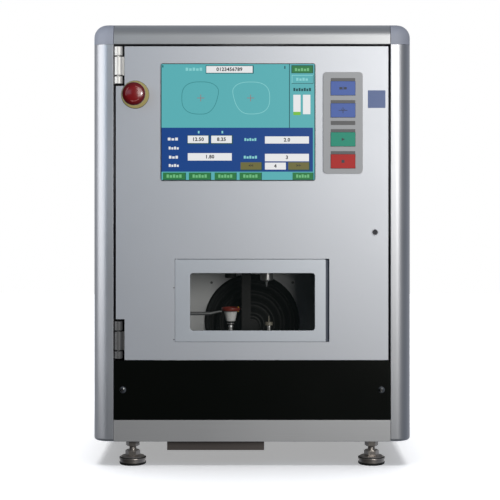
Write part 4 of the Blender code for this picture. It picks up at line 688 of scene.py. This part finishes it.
def windowPieces():
    low, high = boxOf("window_door")
    paneLow, paneHigh = boxOf("window_pane")
    margin, strip, stripEdge = pick(window, "margin", "strip", "stripEdge")
    bottom, top = low.z + window["bottom"], high.z - window["top"]
    holeLow, holeHigh = (paneLow.x + margin, paneLow.z + margin), (paneHigh.x - margin, paneHigh.z - margin)
    plateLow, plateHigh = (low.x - window["left"], low.y, bottom), (high.x, low.y + window["thick"], top)
    corner, holeRadius, edge = pick(window, "corner", "holeRadius", "edge")
    grids = [frameGrid(plateLow, plateHigh, corner, holeLow, holeHigh, holeRadius, edge)]
    for end in ((low.z, bottom + window["pinInside"]), (top - window["pinInside"], high.z)):
        grids.append(turnedGrid(rod(window["pin"], *end), jointPlace("window_swing"), "Z", 20))
    # The window plate's lighter paint is painted light
    dressedPiece("window_door", "window", "silver_paint", grids, ["windowPaint"])
    dress("clearPane", "window_pane")

    # The strip that the window door closes against, behind the finger gap, and the one over its head. The first
    # is dark blue-grey, painted shade in the finger gap; the second takes the window plate's lighter paint,
    # painted light in the gap over the plate.
    stripLow = (low.x + window["stopLeft"], low.y + window["stopBack"], bottom)
    stripHigh = (high.x + window["stopRight"], stripLow[1] + strip, top)
    headLow = (low.x + window["headLeft"], low.y + window["headBack"], top - strip)
    headHigh = (stripLow[0], headLow[1] + strip, high.z - window["headTop"])
    strips = [
        plateGrid(stripLow, stripHigh, window["stopCorner"], "Y", stripEdge, 3),
        plateGrid(headLow, headHigh, window["headCorner"], "Y", stripEdge, 3, finish=1),
    ]
    newPiece("window_stop_strip", "door", "sheet_steel", strips, ["gapSteel", "windowPaint"])
    dots = [turnedGrid(window["dot"], (x, 0, z), "Y", 20, base=doorFront, sign=-1) for x, z in window["dots"]]
    newPiece("window_hinge_dots", "door", "dark_plastic", dots, ["darkPlastic"])


windowPieces()

lock = {"bore": 3.6, "ring": 4.6, "proud": 0.5, "seat": 0.05, "bevel": 0.2, "lip": 0.3}


def lockPieces():
    # A turned ring round a flat barrel
    dress("lockSteel", "lock_cam")
    bore, ring, proud, seat, bevel, lip = pick(lock, "bore", "ring", "proud", "seat", "bevel", "lip")
    outer = [(bore, seat), (ring, seat), (ring, proud - bevel), (ring - bevel, proud)]
    profile = outer + [(bore + lip, proud), (bore, proud - lip)]
    grid = turnedGrid(profile, jointPlace("lock_turn"), "Y", 36, base=doorFront, sign=-1, closed=True)
    newPiece("lock_ring", "door", "bright_steel", [grid], ["silverPaint"])


lockPieces()

bluePlate = {"low": (158.0, 488.1), "high": (181.9, 512.1), "radius": 0.9, "thick": 0.4, "edge": 0.15}


def bluePlatePiece():
    (x0, z0), (x1, z1) = bluePlate["low"], bluePlate["high"]
    low, high = (x0, doorFront - bluePlate["thick"], z0), (x1, doorFront, z1)
    grid = plateGrid(low, high, bluePlate["radius"], "Y", bluePlate["edge"], 5)
    newPiece("plain_blue_plate", "door", "blue_key", [grid], ["blueEnamel"])


bluePlatePiece()
print("door fittings made")


# Emergency stop: yellow ring, black boss, domed head and generic arrows. Depths run forwards from its seat

stop = {
    "seat": 0.3, "head": 15.7, "brow": 25.5, "height": 31.5,
    # A black ring under the yellow ring, showing as a dark outline round its edge: painted shade
    "edgeShadeRing": [(10.5, -0.3), (19.2, -0.3), (19.2, 0.1), (10.5, 0.1)],
    "ring": [(10.5, 0), (18.7, 0), (18.7, 1.6), (18.4, 2.2), (17.8, 2.5), (10.5, 2.5)],
    "boss": [(7.8, 0), (11.5, 0), (11.5, 11.6), (10.9, 12.2), (7.8, 12.2)],
    "rear": [(7.8, 0.5), (10.8, 0.5), (10.8, -12), (15, -12), (15, -38), (7.8, -38)],
    "headLow": [
        (0, 20.5), (5.2, 20.5), (5.2, 16.5), (12.0, 16.5), (12.5, 16.9), (15.2, 20.2), (15.6, 20.9), (15.7, 21.7),
    ],
    "arrowRadius": 10.2, "arrowWidth": 1.1, "arrowStarts": (75, 195, 315), "arrowTurn": 70, "arrowHead": 0.68,
    "arrowShaft": 0.42, "arrowTip": 0.02, "arrowSection": ((-1, -0.3), (-1, 0.12), (1, 0.12), (1, -0.3)),
}


def domeHeight(radius):
    # The head's crown is a quarter ellipse above its brow
    share = np.clip(radius / stop["head"], 0, 1)
    return stop["brow"] + (stop["height"] - stop["brow"]) * np.sqrt(1 - share**2)


def arrowGrid(start):
    # A bent arrow: its half width is even along the shaft, doubles at the head and falls to a point
    head, shaft, tip = pick(stop, "arrowHead", "arrowShaft", "arrowTip")
    along = np.concatenate([np.linspace(0, head, 12), [head + 0.001], np.linspace(head + 0.02, 1, 7)])
    half = np.where(along <= head, shaft, (1 - along) / (1 - head) + tip) * stop["arrowWidth"]
    angle = start - math.radians(stop["arrowTurn"]) * along
    rows = []
    for side, lift in stop["arrowSection"]:
        radius = stop["arrowRadius"] + side * half
        out = doorFront - stop["seat"] - domeHeight(radius) - lift
        rows.append(laid(stopX + radius * np.cos(angle), stopZ + radius * np.sin(angle), out, "Y"))
    return {"points": np.stack(rows, 1)}


def stopPieces():
    def turned(profile, steps, **kind):
        return turnedGrid(profile, (stopX, 0, stopZ), "Y", steps, base=doorFront - stop["seat"], sign=-1, **kind)

    rings = (("edgeShadeRing", 72, 1), ("ring", 72, 0), ("boss", 56, 1), ("rear", 40, 1))
    grids = [turned(stop[part], steps, closed=True, finish=number) for part, steps, number in rings]
    dressedPiece("estop_collar", "door", "yellow_plastic", grids, ["stopYellow", "darkPlastic"])
    dress("darkPlastic", "estop_stem")

    radii = stop["head"] * np.cos(np.linspace(0, quarter, 14)[:-1])
    head = [*stop["headLow"], *zip(radii, domeHeight(radii)), (0, stop["height"])]
    dressedPiece("estop_head", "estop_head", "red_gloss", [turned(head, 72)], ["stopRed"])
    arrows = [arrowGrid(math.radians(start)) for start in stop["arrowStarts"]]
    newPiece("estop_arrows", "estop_head", "red_gloss", arrows, ["stopMark"])


stopPieces()
print("emergency stop made")


# Key panel: keys with soft edges, plain label strips and generic signs


def rectangle(x0, z0, x1, z1):
    # Four corners, anticlockwise from the lower left
    return [(x0, z0), (x1, z0), (x1, z1), (x0, z1)]


keys = {
    "radius": 1.0, "edge": 0.5, "sign": 0.15, "signSunk": 0.05,
    "strip": (0.2, 4.4), "loneStrip": (10.0, 15.6), "stripRadius": 0.4, "stripProud": 0.12, "stripSunk": 0.05,
    "stripEdge": 0.05,
    "faces": {
        "key_blue_upper": ("blueKey", "blue_key", [
            rectangle(-5, -1.6, -1.2, 1.6), rectangle(1.2, -1.6, 5, 1.6), rectangle(-0.35, -2.2, 0.35, 2.2),
        ]),
        "key_blue_lower": ("blueKey", "blue_key", [
            rectangle(-6, -0.4, 6, 0.4), rectangle(-0.4, 0.5, 0.4, 4), rectangle(-0.4, -4, 0.4, -0.5),
            rectangle(-2.6, 1, -1.6, 2), rectangle(1.6, 1, 2.6, 2),
        ]),
        "key_green": ("greenKey", "green_key", [[(-1.8, -2.2), (2.4, 0), (-1.8, 2.2)]]),
        "key_red": ("redKey", "red_key", [rectangle(-2, -2, 2, 2)]),
    },
}


def keyPieces():
    dress("greyPlastic", "key_panel")
    panelFront = boxOf("key_panel")[0].y
    strips = []

    def addStrip(node, bottom, top):
        low, high = boxOf(node)
        stripLow = (low.x, panelFront - keys["stripProud"], high.z + bottom)
        stripHigh = (high.x, panelFront + keys["stripSunk"], high.z + top)
        strips.append(plateGrid(stripLow, stripHigh, keys["stripRadius"], "Y", keys["stripEdge"], 2, 1))

    for node, (finishName, slot, signs) in keys["faces"].items():
        low, high = boxOf(node)
        middle = (low + high) / 2
        grids = [plateGrid(low, high, keys["radius"], "Y", keys["edge"], 4)]
        for sign in signs:
            a, b = np.array(sign, float).T + [[middle.x], [middle.z]]
            rows = [laid(a, b, low.y + depth, "Y") for depth in (keys["signSunk"], -keys["sign"])]
            grids.append({"points": np.stack(rows), "finish": 1})
        dressedPiece(node, node, slot, grids, [finishName, "keyInk"])
        addStrip(node, *keys["strip"])
    addStrip("key_green", *keys["loneStrip"])  # it stands alone between the two pairs of keys
    newPiece("key_label_strips", "door", "grey_plastic", strips, ["stripInk"])


keyPieces()
print("keys made")


# Display: fields, a pair of lens outlines and plain numbers

display = {
    "layer": 0.06, "corner": 0.02, "edge": 0.01, "sunk": 0.02, "digit": 6.6, "arrow": 5.2,
    # By colour, each area's level and box. Places run right and down from the display's upper left corner
    "areas": {
        "Teal": [(0, 1.0, 1.1, 209.5, 159.0), (3, 179.4, 16.9, 207.4, 26.8)],
        "Blue": [(1, 1.0, 87.8, 207.4, 147.8)],
        "White": [
            (3, 62.1, 3.8, 125.2, 13.0), (1, 180.7, 42.9, 190.6, 66.2), (1, 193.8, 42.9, 204.0, 69.4),
            (3, 36.8, 98.7, 64.8, 108.8), (3, 68.8, 98.7, 96.8, 108.8), (2, 142.0, 99.7, 202.0, 109.4),
            (2, 36.8, 122.5, 96.8, 132.6), (2, 142.0, 123.4, 202.0, 133.6), (2, 142.0, 135.4, 170.5, 144.9),
        ],
        "Green": [(2, 178.8, 3.4, 207.0, 13.0)],
        "Olive": [(3, 108.7, 134.9, 137.1, 144.9), (3, 173.7, 134.9, 202.0, 144.9)],
        "Dark": [
            (1, 174.9, 1.0, 175.9, 88.0), (2, 61.3, 3.0, 126.6, 14.0), (1, 178.0, 2.6, 207.9, 13.6),
            (1, 178.6, 16.1, 208.2, 27.8), (2, 36.2, 98.1, 66.4, 110.2), (2, 68.2, 98.1, 98.2, 110.2),
            (2, 108.7, 134.9, 138.3, 146.2), (2, 173.7, 134.9, 203.2, 146.2), (2, 2.0, 2.6, 3.6, 5.8),
            (2, 168.4, 3.6, 170.0, 7.6),
        ],
        "Pale": [(2, 178.6, 16.1, 207.6, 27.0)],
        "Lime": [(1, 180.7, 66.2, 190.6, 70.7)],
    },
    # By colour, each word's number of blocks, level and box
    "words": {
        "White": [
            (3, 3, 9.6, 101.4, 24.6, 105.2), (4, 3, 10.8, 113.7, 25.4, 117.5), (3, 3, 11.2, 126.1, 24.5, 129.9),
            (4, 3, 10.9, 137.4, 25.4, 141.2),
        ],
        "Pale": [
            (1, 3, 50.6, 92.2, 53.6, 95.6), (1, 3, 82.8, 92.2, 85.8, 95.6), (5, 3, 114.0, 102.0, 131.1, 105.8),
            (5, 3, 113.1, 126.1, 132.1, 129.9), (5, 3, 33.9, 6.0, 57.6, 10.2), (4, 4, 184.6, 19.8, 201.6, 23.8),
        ],
        "Dark": [(7, 2, 180.8, 33.6, 205.6, 38.0)],
        "Mint": [(5, 3, 182.8, 6.6, 203.2, 10.6)],
    },
    "blockShare": 0.74, "blockStep": 0.9,
    "buttons": ((2.9, 33.6), (38.3, 67.9), (73.4, 102.7), (107.4, 137.1), (179.6, 207.5)),
    "buttonRow": (149.0, 158.6), "buttonShade": (0.8, 0.7), "buttonWord": (5.0, 151.6, 4.2, 156.0),
    "numbers": {
        "digit": [
            ("0123456789", (93.6, 8.4)), ("12.50", (50.8, 103.8)), ("8.25", (82.8, 103.8)),
            ("1.80", (66.8, 127.6)), ("2.0", (172.0, 104.6)), ("3", (172.0, 128.5)), ("4", (156.2, 140.2)),
        ],
        "arrow": [("<<", (122.9, 139.6)), (">>", (187.8, 139.6))],
    },
    "lenses": [("Shade", (54.5, 47.3), (25.8, 22.0)), ("Pale", (122.5, 47.3), (26.0, 21.8))],
    "lensPower": 2.7, "lensLine": 0.75, "lensLevels": (2.5, 0.5), "cross": (5.0, 4.6, 0.4),
    "nose": 90, "noseShare": 0.34, "noseStart": 0.55,
    "numberLevel": 4.9, "numberDepth": 0.6, "weight": 0.035, "spacing": 1.08,
}


def lensOutline(centre, reach):
    # A circle pulled towards a rounded rectangle, r = (|cos|^n + |sin|^n)^(-1/n). Its nose side narrows downwards
    # by up to a third.
    turns = np.linspace(0, 2 * math.pi, 120, endpoint=False)
    power, narrowed, start = pick(display, "lensPower", "noseShare", "noseStart")
    radius = (np.abs(np.cos(turns)) ** power + np.abs(np.sin(turns)) ** power) ** (-1 / power)
    inward = 1 if centre[0] < display["nose"] else -1
    across, upward = radius * np.cos(turns), inward * radius * np.sin(turns)
    narrowing = narrowed * np.maximum(start - upward, 0) / (1 + start)
    across = np.where(across > 0, across * (1 - narrowing), across)
    return centre[0] + inward * reach[0] * across, centre[1] - reach[1] * upward


def numberMesh(left, top, front, depth):
    # The digits and signs as one mesh in metres, standing on the XZ plane
    shape = bmesh.new()
    for kind, rows in display["numbers"].items():
        for words, (x, z) in rows:
            data = bpy.data.curves.new("number", "FONT")
            data.body = words
            data.size = display[kind] * mm
            data.extrude = depth * mm / 2
            data.offset = data.size * display["weight"]
            data.space_character = display["spacing"]
            data.resolution_u = 3
            data.align_x = data.align_y = "CENTER"
            draft = placed("number", data)
            bpy.context.view_layer.update()
            mesh = bpy.data.meshes.new_from_object(draft.evaluated_get(bpy.context.evaluated_depsgraph_get()))
            bpy.data.objects.remove(draft)
            points = np.empty(len(mesh.vertices) * 3, np.float32)
            mesh.vertices.foreach_get("co", points)
            a, b, out = points.reshape(-1, 3).T
            moved = laid((left + x) * mm + a, (top - z) * mm + b, (front + depth / 2) * mm - out, "Y")
            mesh.vertices.foreach_set("co", moved.astype(np.float32).ravel())
            mesh.materials.clear()
            shape.from_mesh(mesh)
    whole = bpy.data.meshes.new("display_numbers")
    shape.to_mesh(whole)
    shape.free()
    return whole


def displayPieces():
    dress("darkPlastic", "display_unit")
    low, high = boxOf("display_unit")
    left, top, front, layer = low.x, high.z, low.y, display["layer"]
    names = [name for name in finishes if name.startswith("screen") and name != "screenInk"]

    def area(colour, level, x0, z0, x1, z1):
        areaLow = (left + x0, front - layer * (level + 1), top - z1)
        areaHigh = (left + x1, front + display["sunk"], top - z0)
        number = names.index("screen" + colour)
        return plateGrid(areaLow, areaHigh, display["corner"], "Y", display["edge"], 1, 1, number)

    def word(colour, count, level, x0, z0, x1, z1):
        # A row of small blocks, every other one lower
        step, wide, lower = (x1 - x0) / count, display["blockShare"], display["blockStep"]
        spots = [(x0 + i * step, z0 + lower * (i % 2), x0 + (i + wide) * step, z1) for i in range(count)]
        return [area(colour, level, *spot) for spot in spots]

    grids = [area(colour, *row) for colour, rows in display["areas"].items() for row in rows]
    for colour, rows in display["words"].items():
        for row in rows:
            grids += word(colour, *row)
    (z0, z1), (shadeX, shadeZ), buttonWord = pick(display, "buttonRow", "buttonShade", "buttonWord")
    fromLeft, wordTop, fromRight, wordLow = buttonWord
    for x0, x1 in display["buttons"]:
        grids.append(area("Dark", 1, x0, z0, x1 + shadeX, z1 + shadeZ))
        grids.append(area("Green", 2, x0, z0, x1, z1))
        grids += word("Mint", 5, 3, x0 + fromLeft, wordTop, x1 - fromRight, wordLow)
    wide, tall, half = display["cross"]
    for colour, (x, z), reach in display["lenses"]:
        a, b = lensOutline((x, z), reach)
        depths = [front - layer * level for level in display["lensLevels"]]
        number = names.index("screen" + colour)
        grids.append(ribbonGrid(left + a, top - b, display["lensLine"], *depths, number))
        grids.append(area("Red", 2, x - wide, z - half, x + wide, z + half))
        grids.append(area("Red", 3, x - half, z - tall, x + half, z + tall))
    newPiece("display_picture", "door", "display_face", grids, names)

    numbers = numberMesh(left, top, front - layer * display["numberLevel"], layer * display["numberDepth"])
    settledPiece("display_numbers", numbers, "door", "display_face", ["screenInk"])


displayPieces()
print("display made")


# Drilling chamber: bellows, lens holder, clamp, drill, stylus, tube and wall screws

dress("linerPaint", "chamber_liner")
dress("stageMetal", "lens_arm", "slide_stage", "feed_stage")

bellows = {
    "radius": 69.5, "inner": 10.4, "length": 50, "pleats": 4, "pleatDepth": 7.5, "crease": 1.4, "wall": 1.4,
}


def bellowsPiece():
    # The radius falls evenly from the wall to the shank while the surface waves forward and back:
    # along = -length * share - depth * ((1 - cos(2 pi pleats share)) / 2)^crease, and the same curve a wall's
    # thickness behind
    low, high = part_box("bellows")
    share = np.linspace(0, 1, 97)
    radius = bellows["radius"] + (bellows["inner"] - bellows["radius"]) * share
    wave = (1 - np.cos(2 * math.pi * bellows["pleats"] * share)) / 2
    inner = high.y / mm - bellows["length"] * share - bellows["pleatDepth"] * wave ** bellows["crease"]
    outer = inner - bellows["wall"]
    profile = np.concatenate([np.stack([radius, outer], 1), np.stack([radius, inner], 1)[::-1]])
    grid = turnedGrid(profile, (low + high) / (2 * mm), "Y", 96, closed=True)
    handling = {"replaces": ["bellows"], "sharp": 50, "flatFaces": False}
    piece = newPiece("bellows_dressed", None, "black_rubber", [grid], ["blackRubber"], **handling)
    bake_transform(piece)


bellowsPiece()


def softCone(bottom, top, low, high):
    # A closed section from radius bottom at low to radius top at high, its edges turned off
    cut = 0.3
    return [(0, low), (bottom - cut, low), (bottom, low + cut), (top, high - cut), (top - cut, high), (0, high)]


def turnedPiece(node, slot, sections):
    # A CAD node redrawn as turned sections, each a finish and a profile that starts from the node's lowest point
    low, high = boxOf(node)
    names = list(dict.fromkeys(name for name, profile in sections))
    grids = []
    for name, profile in sections:
        grids.append(turnedGrid(profile, (low + high) / 2, "Z", base=low.z, finish=names.index(name)))
    dressedPiece(node, node, slot, grids, names)


tube = {"radius": 2.4, "thinned": 0.45, "bend": 16, "rise": 3, "beyond": 3.4}


def tubePiece():
    # Straight from the wall, then bent up by half a cosine wave
    low, high = boxOf("steel_tube")
    radius, bendX, bottom = tube["radius"], high.x - tube["bend"], low.z + tube["radius"]
    share = np.linspace(0, 1, 17)
    straight = np.linspace(low.x, bendX, 12)[:-1]
    x = np.concatenate([straight, bendX + (tube["bend"] + tube["beyond"]) * share])
    lift = np.concatenate([straight * 0, tube["rise"] * (1 - np.cos(math.pi * share)) / 2])
    radii = np.concatenate([straight * 0 + radius, radius * (1 - tube["thinned"] * share)])
    path = laid(x, bottom + lift, (low.y + high.y) / 2, "Y")
    dressedPiece("steel_tube", "cabinet", "bright_steel", [tubeGrid(path, radii, 20)], ["tubeSteel"])


chamber = {
    "rim": [
        (0, 55.5), (10.6, 55.5), (12.2, 56.2), (12.9, 57.4), (13.2, 59.4), (12.9, 60.3), (11.9, 60.6),
        (10.6, 60.2), (9.6, 58.8), (0, 58.4),
    ],
    "stop": [(0, -6.2), (1.6, -6.0), (1.8, -1.2), (1.4, 1.2), (0, 1.6)], "stopPlace": (10.2, -1.5, 0),
    "bit": [(0, 0), (0.35, 0), (0.8, 1.6), (1.3, 5.0), (1.9, 8.0), (0, 8.0)],
    "collet": [
        (0, 7.7), (3.3, 7.7), (3.7, 8.1), (8.6, 9.4), (9.1, 9.7), (9.3, 10.3), (9.3, 17.4), (8.6, 17.8),
        (8.6, 18.8), (9.3, 19.2), (9.3, 29.4), (9.0, 29.9), (0, 29.9),
    ],
    "needle": [(0, -8.7), (0.9, -8.7), (0.9, -5.0), (0.4, 0), (0, 0)],
    "wall": 2, "wallScrews": ((-59.6, 0, 238.6), (59.6, 0, 238.6)),
}


def chamberPieces():
    low, high = boxOf("lens_holder")
    turnedPiece("lens_holder", "holder_plastic", [
        ("satinChrome", softCone(2.6, 2.6, 0, 36.6)),  # shaft
        ("satinChrome", softCone(5.0, 5.0, 18.3, 21.3)),  # collar
        ("darkPlastic", softCone(4.7, 4.7, 36.4, 41.6)),  # clip
        ("satinChrome", softCone(3.4, 2.4, 33.2, 36.5)),  # the clip's two rings
        ("satinChrome", softCone(4.9, 4.9, 37.6, 38.8)),
        ("whitePlastic", softCone(6.4, 9.2, 41.6, 55.6)),  # cone
        ("orangeRed", chamber["rim"]),
    ])
    # Small brass stop at the rim's right
    place = (low + high) / 2 + Vector(chamber["stopPlace"])
    grid = turnedGrid(chamber["stop"], place, "Z", 24, base=high.z)
    newPiece("lens_holder_stop", "lens_holder", "holder_plastic", [grid], ["brass"])

    nodes = ("lens_clamp", "drill_head", "drill_spindle", "stylus")
    clamp, head, spindle, stylus = (boxOf(node)[1].z - boxOf(node)[0].z for node in nodes)
    turnedPiece("lens_clamp", "black_rubber", [
        ("blackRubber", softCone(8.1, 8.1, 0, 8.0)),  # pad
        ("brightSteel", softCone(4.0, 4.0, 7.8, clamp)),  # rod
    ])
    turnedPiece("drill_head", "stage_aluminium", [("stageMetal", softCone(14.0, 14.0, 0, head))])
    turnedPiece("drill_spindle", "chrome", [
        ("satinChrome", chamber["bit"]),
        ("spindleSteel", chamber["collet"]),
        ("chrome", softCone(5.0, 5.0, 29.7, spindle)),  # shaft
    ])
    turnedPiece("stylus", "bright_steel", [
        ("feelerPlastic", [(radius, stylus + along) for radius, along in chamber["needle"]]),
        ("feelerPlastic", softCone(5.6, 5.2, stylus - 13.2, stylus - 8.5)),  # the needle's holder
        ("satinChrome", softCone(2.8, 2.8, 0, stylus - 13.0)),  # rod
    ])

    tubePiece()
    wall = boxOf("chamber_liner")[1].y - chamber["wall"]
    grids = [screwGrid(place, "Y", -1, wall, "wall") for place in chamber["wallScrews"]]
    newPiece("chamber_wall_screws", "cabinet", "bright_steel", grids, ["tubeSteel"])


chamberPieces()
print("chamber made")


# Power inlet pins

pins = {
    "places": ((-7, 0, -2), (0, 0, 3), (7, 0, -2)), "half": (1, 0, 2), "back": 17, "tip": 3,
    "corner": 0.3, "edge": 0.4,
}


def pinPieces():
    low, high = boxOf("power_inlet")
    middle = (low + high) / 2
    back, tip = (Vector((middle.x, high.y - pins[end], middle.z)) for end in ("back", "tip"))
    half = Vector(pins["half"])
    grids = []
    for place in pins["places"]:
        pinLow, pinHigh = back + Vector(place) - half, tip + Vector(place) + half
        grids.append(plateGrid(pinLow, pinHigh, pins["corner"], "Y", pins["edge"], 3))
    newPiece("power_inlet_pins", "cabinet", "bright_steel", grids, ["brightSteel"])


pinPieces()


# Floor, light and camera, in metres

studio = {
    "floorReach": 2.6, "floorTone": (0.86, 0.86, 0.87), "floorShade": 0.985, "floorGlow": 0.36, "floorRough": 0.7,
    "sunPower": 3.0, "sunAngle": 38.0, "sunTilt": 6.0, "aim": (0, -0.2, 0.32), "tint": (0.85, 0.965, 1.17),
    "room": {"even": 0.10, "right": 0.08, "back": 0.08, "behind": 0.45, "above": 0.12},
    "distance": 2.0, "eye": 0.40, "lens": 105.55, "shiftX": -0.0042, "shiftY": -0.1550,
}
lights = {
    "keyLight": {"power": 21.6, "place": (0.66, -1.80, 0.80), "size": (0.8, 1.3), "tint": (1.0, 0.977, 0.928)},
    "sparkLight": {"power": 14.0, "place": (1.00, -1.60, 0.62), "size": (0.28, 0.28), "tint": (1, 1, 1)},
    "sideLight": {"power": 15.5, "place": (-1.38, -0.80, 0.62), "size": (1.6, 1.2), "tint": (1, 1, 1)},
    "fillLight": {"power": 2.4, "place": (-1.0, -1.75, 0.80), "size": (0.9, 0.6), "tint": (0.50, 0.75, 1.0)},
}


def newFloor():
    data = bpy.data.meshes.new("floor")
    reach, tone = studio["floorReach"], studio["floorTone"]
    data.from_pydata([(*corner, 0) for corner in rectangle(-reach, -reach, reach, reach)], [], [(0, 1, 2, 3)])
    material, start, place, shader = newMaterial("palePaper")
    cloud = start.node("TexNoise", {}, {"Vector": place, "Scale": 3.0, "Detail": 2.0})
    start.feed(shader, {
        "Base Color": colourMix(start, cloud, scaled(tone, studio["floorShade"]), tone),
        "Roughness": studio["floorRough"],
        "Emission Color": (1, 1, 1, 1),
        "Emission Strength": studio["floorGlow"],
    })
    data.materials.append(material)
    floor = placed("floor", data)
    floor.visible_glossy = floor.visible_diffuse = False


def newSun():
    # A soft sun from just behind overhead
    data = bpy.data.lights.new("floorSun", "SUN")
    data.energy = studio["sunPower"]
    data.angle = math.radians(studio["sunAngle"])
    return placed("floorSun", data, (0, 0, 3), (-math.radians(studio["sunTilt"]), 0, 0))


def newLight(name, receivers):
    # A rectangular lamp that lights its receivers alone
    setting = lights[name]
    data = bpy.data.lights.new(name, "AREA")
    data.shape = "RECTANGLE"
    data.size, data.size_y = setting["size"]
    data.energy, data.color = setting["power"], setting["tint"]
    aim = Vector(studio["aim"]) - Vector(setting["place"])
    light = placed(name, data, setting["place"], aim.to_track_quat("-Z", "Y").to_euler())
    light.visible_camera = False
    light.light_linking.receiver_collection = receivers
    return light


def lightGroup(name, starts, excluded=False):
    # The meshes whose names start so, for a light that reaches them alone, or all but them
    group = bpy.data.collections.new(name)
    for piece in bpy.data.objects:
        if piece.type == "MESH" and piece.name.startswith(starts):
            group.objects.link(piece)
    for member in group.collection_objects:
        member.light_linking.link_state = "EXCLUDE" if excluded else "INCLUDE"
    return group


def newSurroundings():
    # The camera sees white; the machine is lit by a cool grey room that is whiter and brighter behind it
    world = bpy.data.worlds.new("studio")
    world.use_nodes = True
    start = Socket(world.node_tree)
    direction = start.node("TexCoord", {}, {}, "Generated")
    x = start.node("SeparateXYZ", {}, {"Vector": direction})
    y, z = x.part(1), x.part(2)
    behind, above = y.maths("MAXIMUM", y, 0), z.maths("MAXIMUM", z, 0)
    room = studio["room"]
    light = room["even"] + x * room["right"] + y * room["back"] + behind * room["behind"] + above * room["above"]
    seen = start.node("LightPath", {}, {}, "Is Camera Ray")
    start.feed(world.node_tree.nodes["Background"], {
        "Strength": seen + (1 - seen) * light,
        "Color": colourMix(start, seen.maths("MAXIMUM", seen, behind), studio["tint"], (1.0, 1.0, 1.0)),
    })
    bpy.context.scene.world = world


def newCamera():
    data = bpy.data.cameras.new("camera")
    data.lens, data.sensor_width = studio["lens"], 36
    data.shift_x, data.shift_y = studio["shiftX"], studio["shiftY"]
    place = (0, doorFront * mm - studio["distance"], studio["eye"])
    bpy.context.scene.camera = placed("camera", data, place, (quarter, 0, 0))


def lightPieces():
    # The sun lights the floor alone, and the key light draws the machine from the right. A side light draws its
    # left, a blue fill its front, and a small light glints on the emergency stop, which casts no key shadow.
    newFloor()
    newSun().light_linking.receiver_collection = lightGroup("floorOnly", ("floor",))
    key = newLight("keyLight", lightGroup("allButFloor", ("floor",), True))
    stopNames = ("estop_head_dressed", "estop_collar_dressed", "estop_arrows")
    key.light_linking.blocker_collection = lightGroup("allButStop", stopNames, True)
    newLight("sparkLight", lightGroup("headOnly", ("estop_head",))).visible_diffuse = False
    frameStarts = ("column_", "corner_cap_", "top_beam_", "side_panel_", "hinge_")
    newLight("sideLight", lightGroup("frameOnly", frameStarts))
    frontStarts = ("column_", "corner_cap_", "top_beam_", "door_panel", "window_", "estop_", "display_", "key_")
    newLight("fillLight", lightGroup("frontOnly", frontStarts))


lightPieces()
newSurroundings()
newCamera()
bpy.context.scene.view_settings.view_transform = "Standard"
print("studio made")
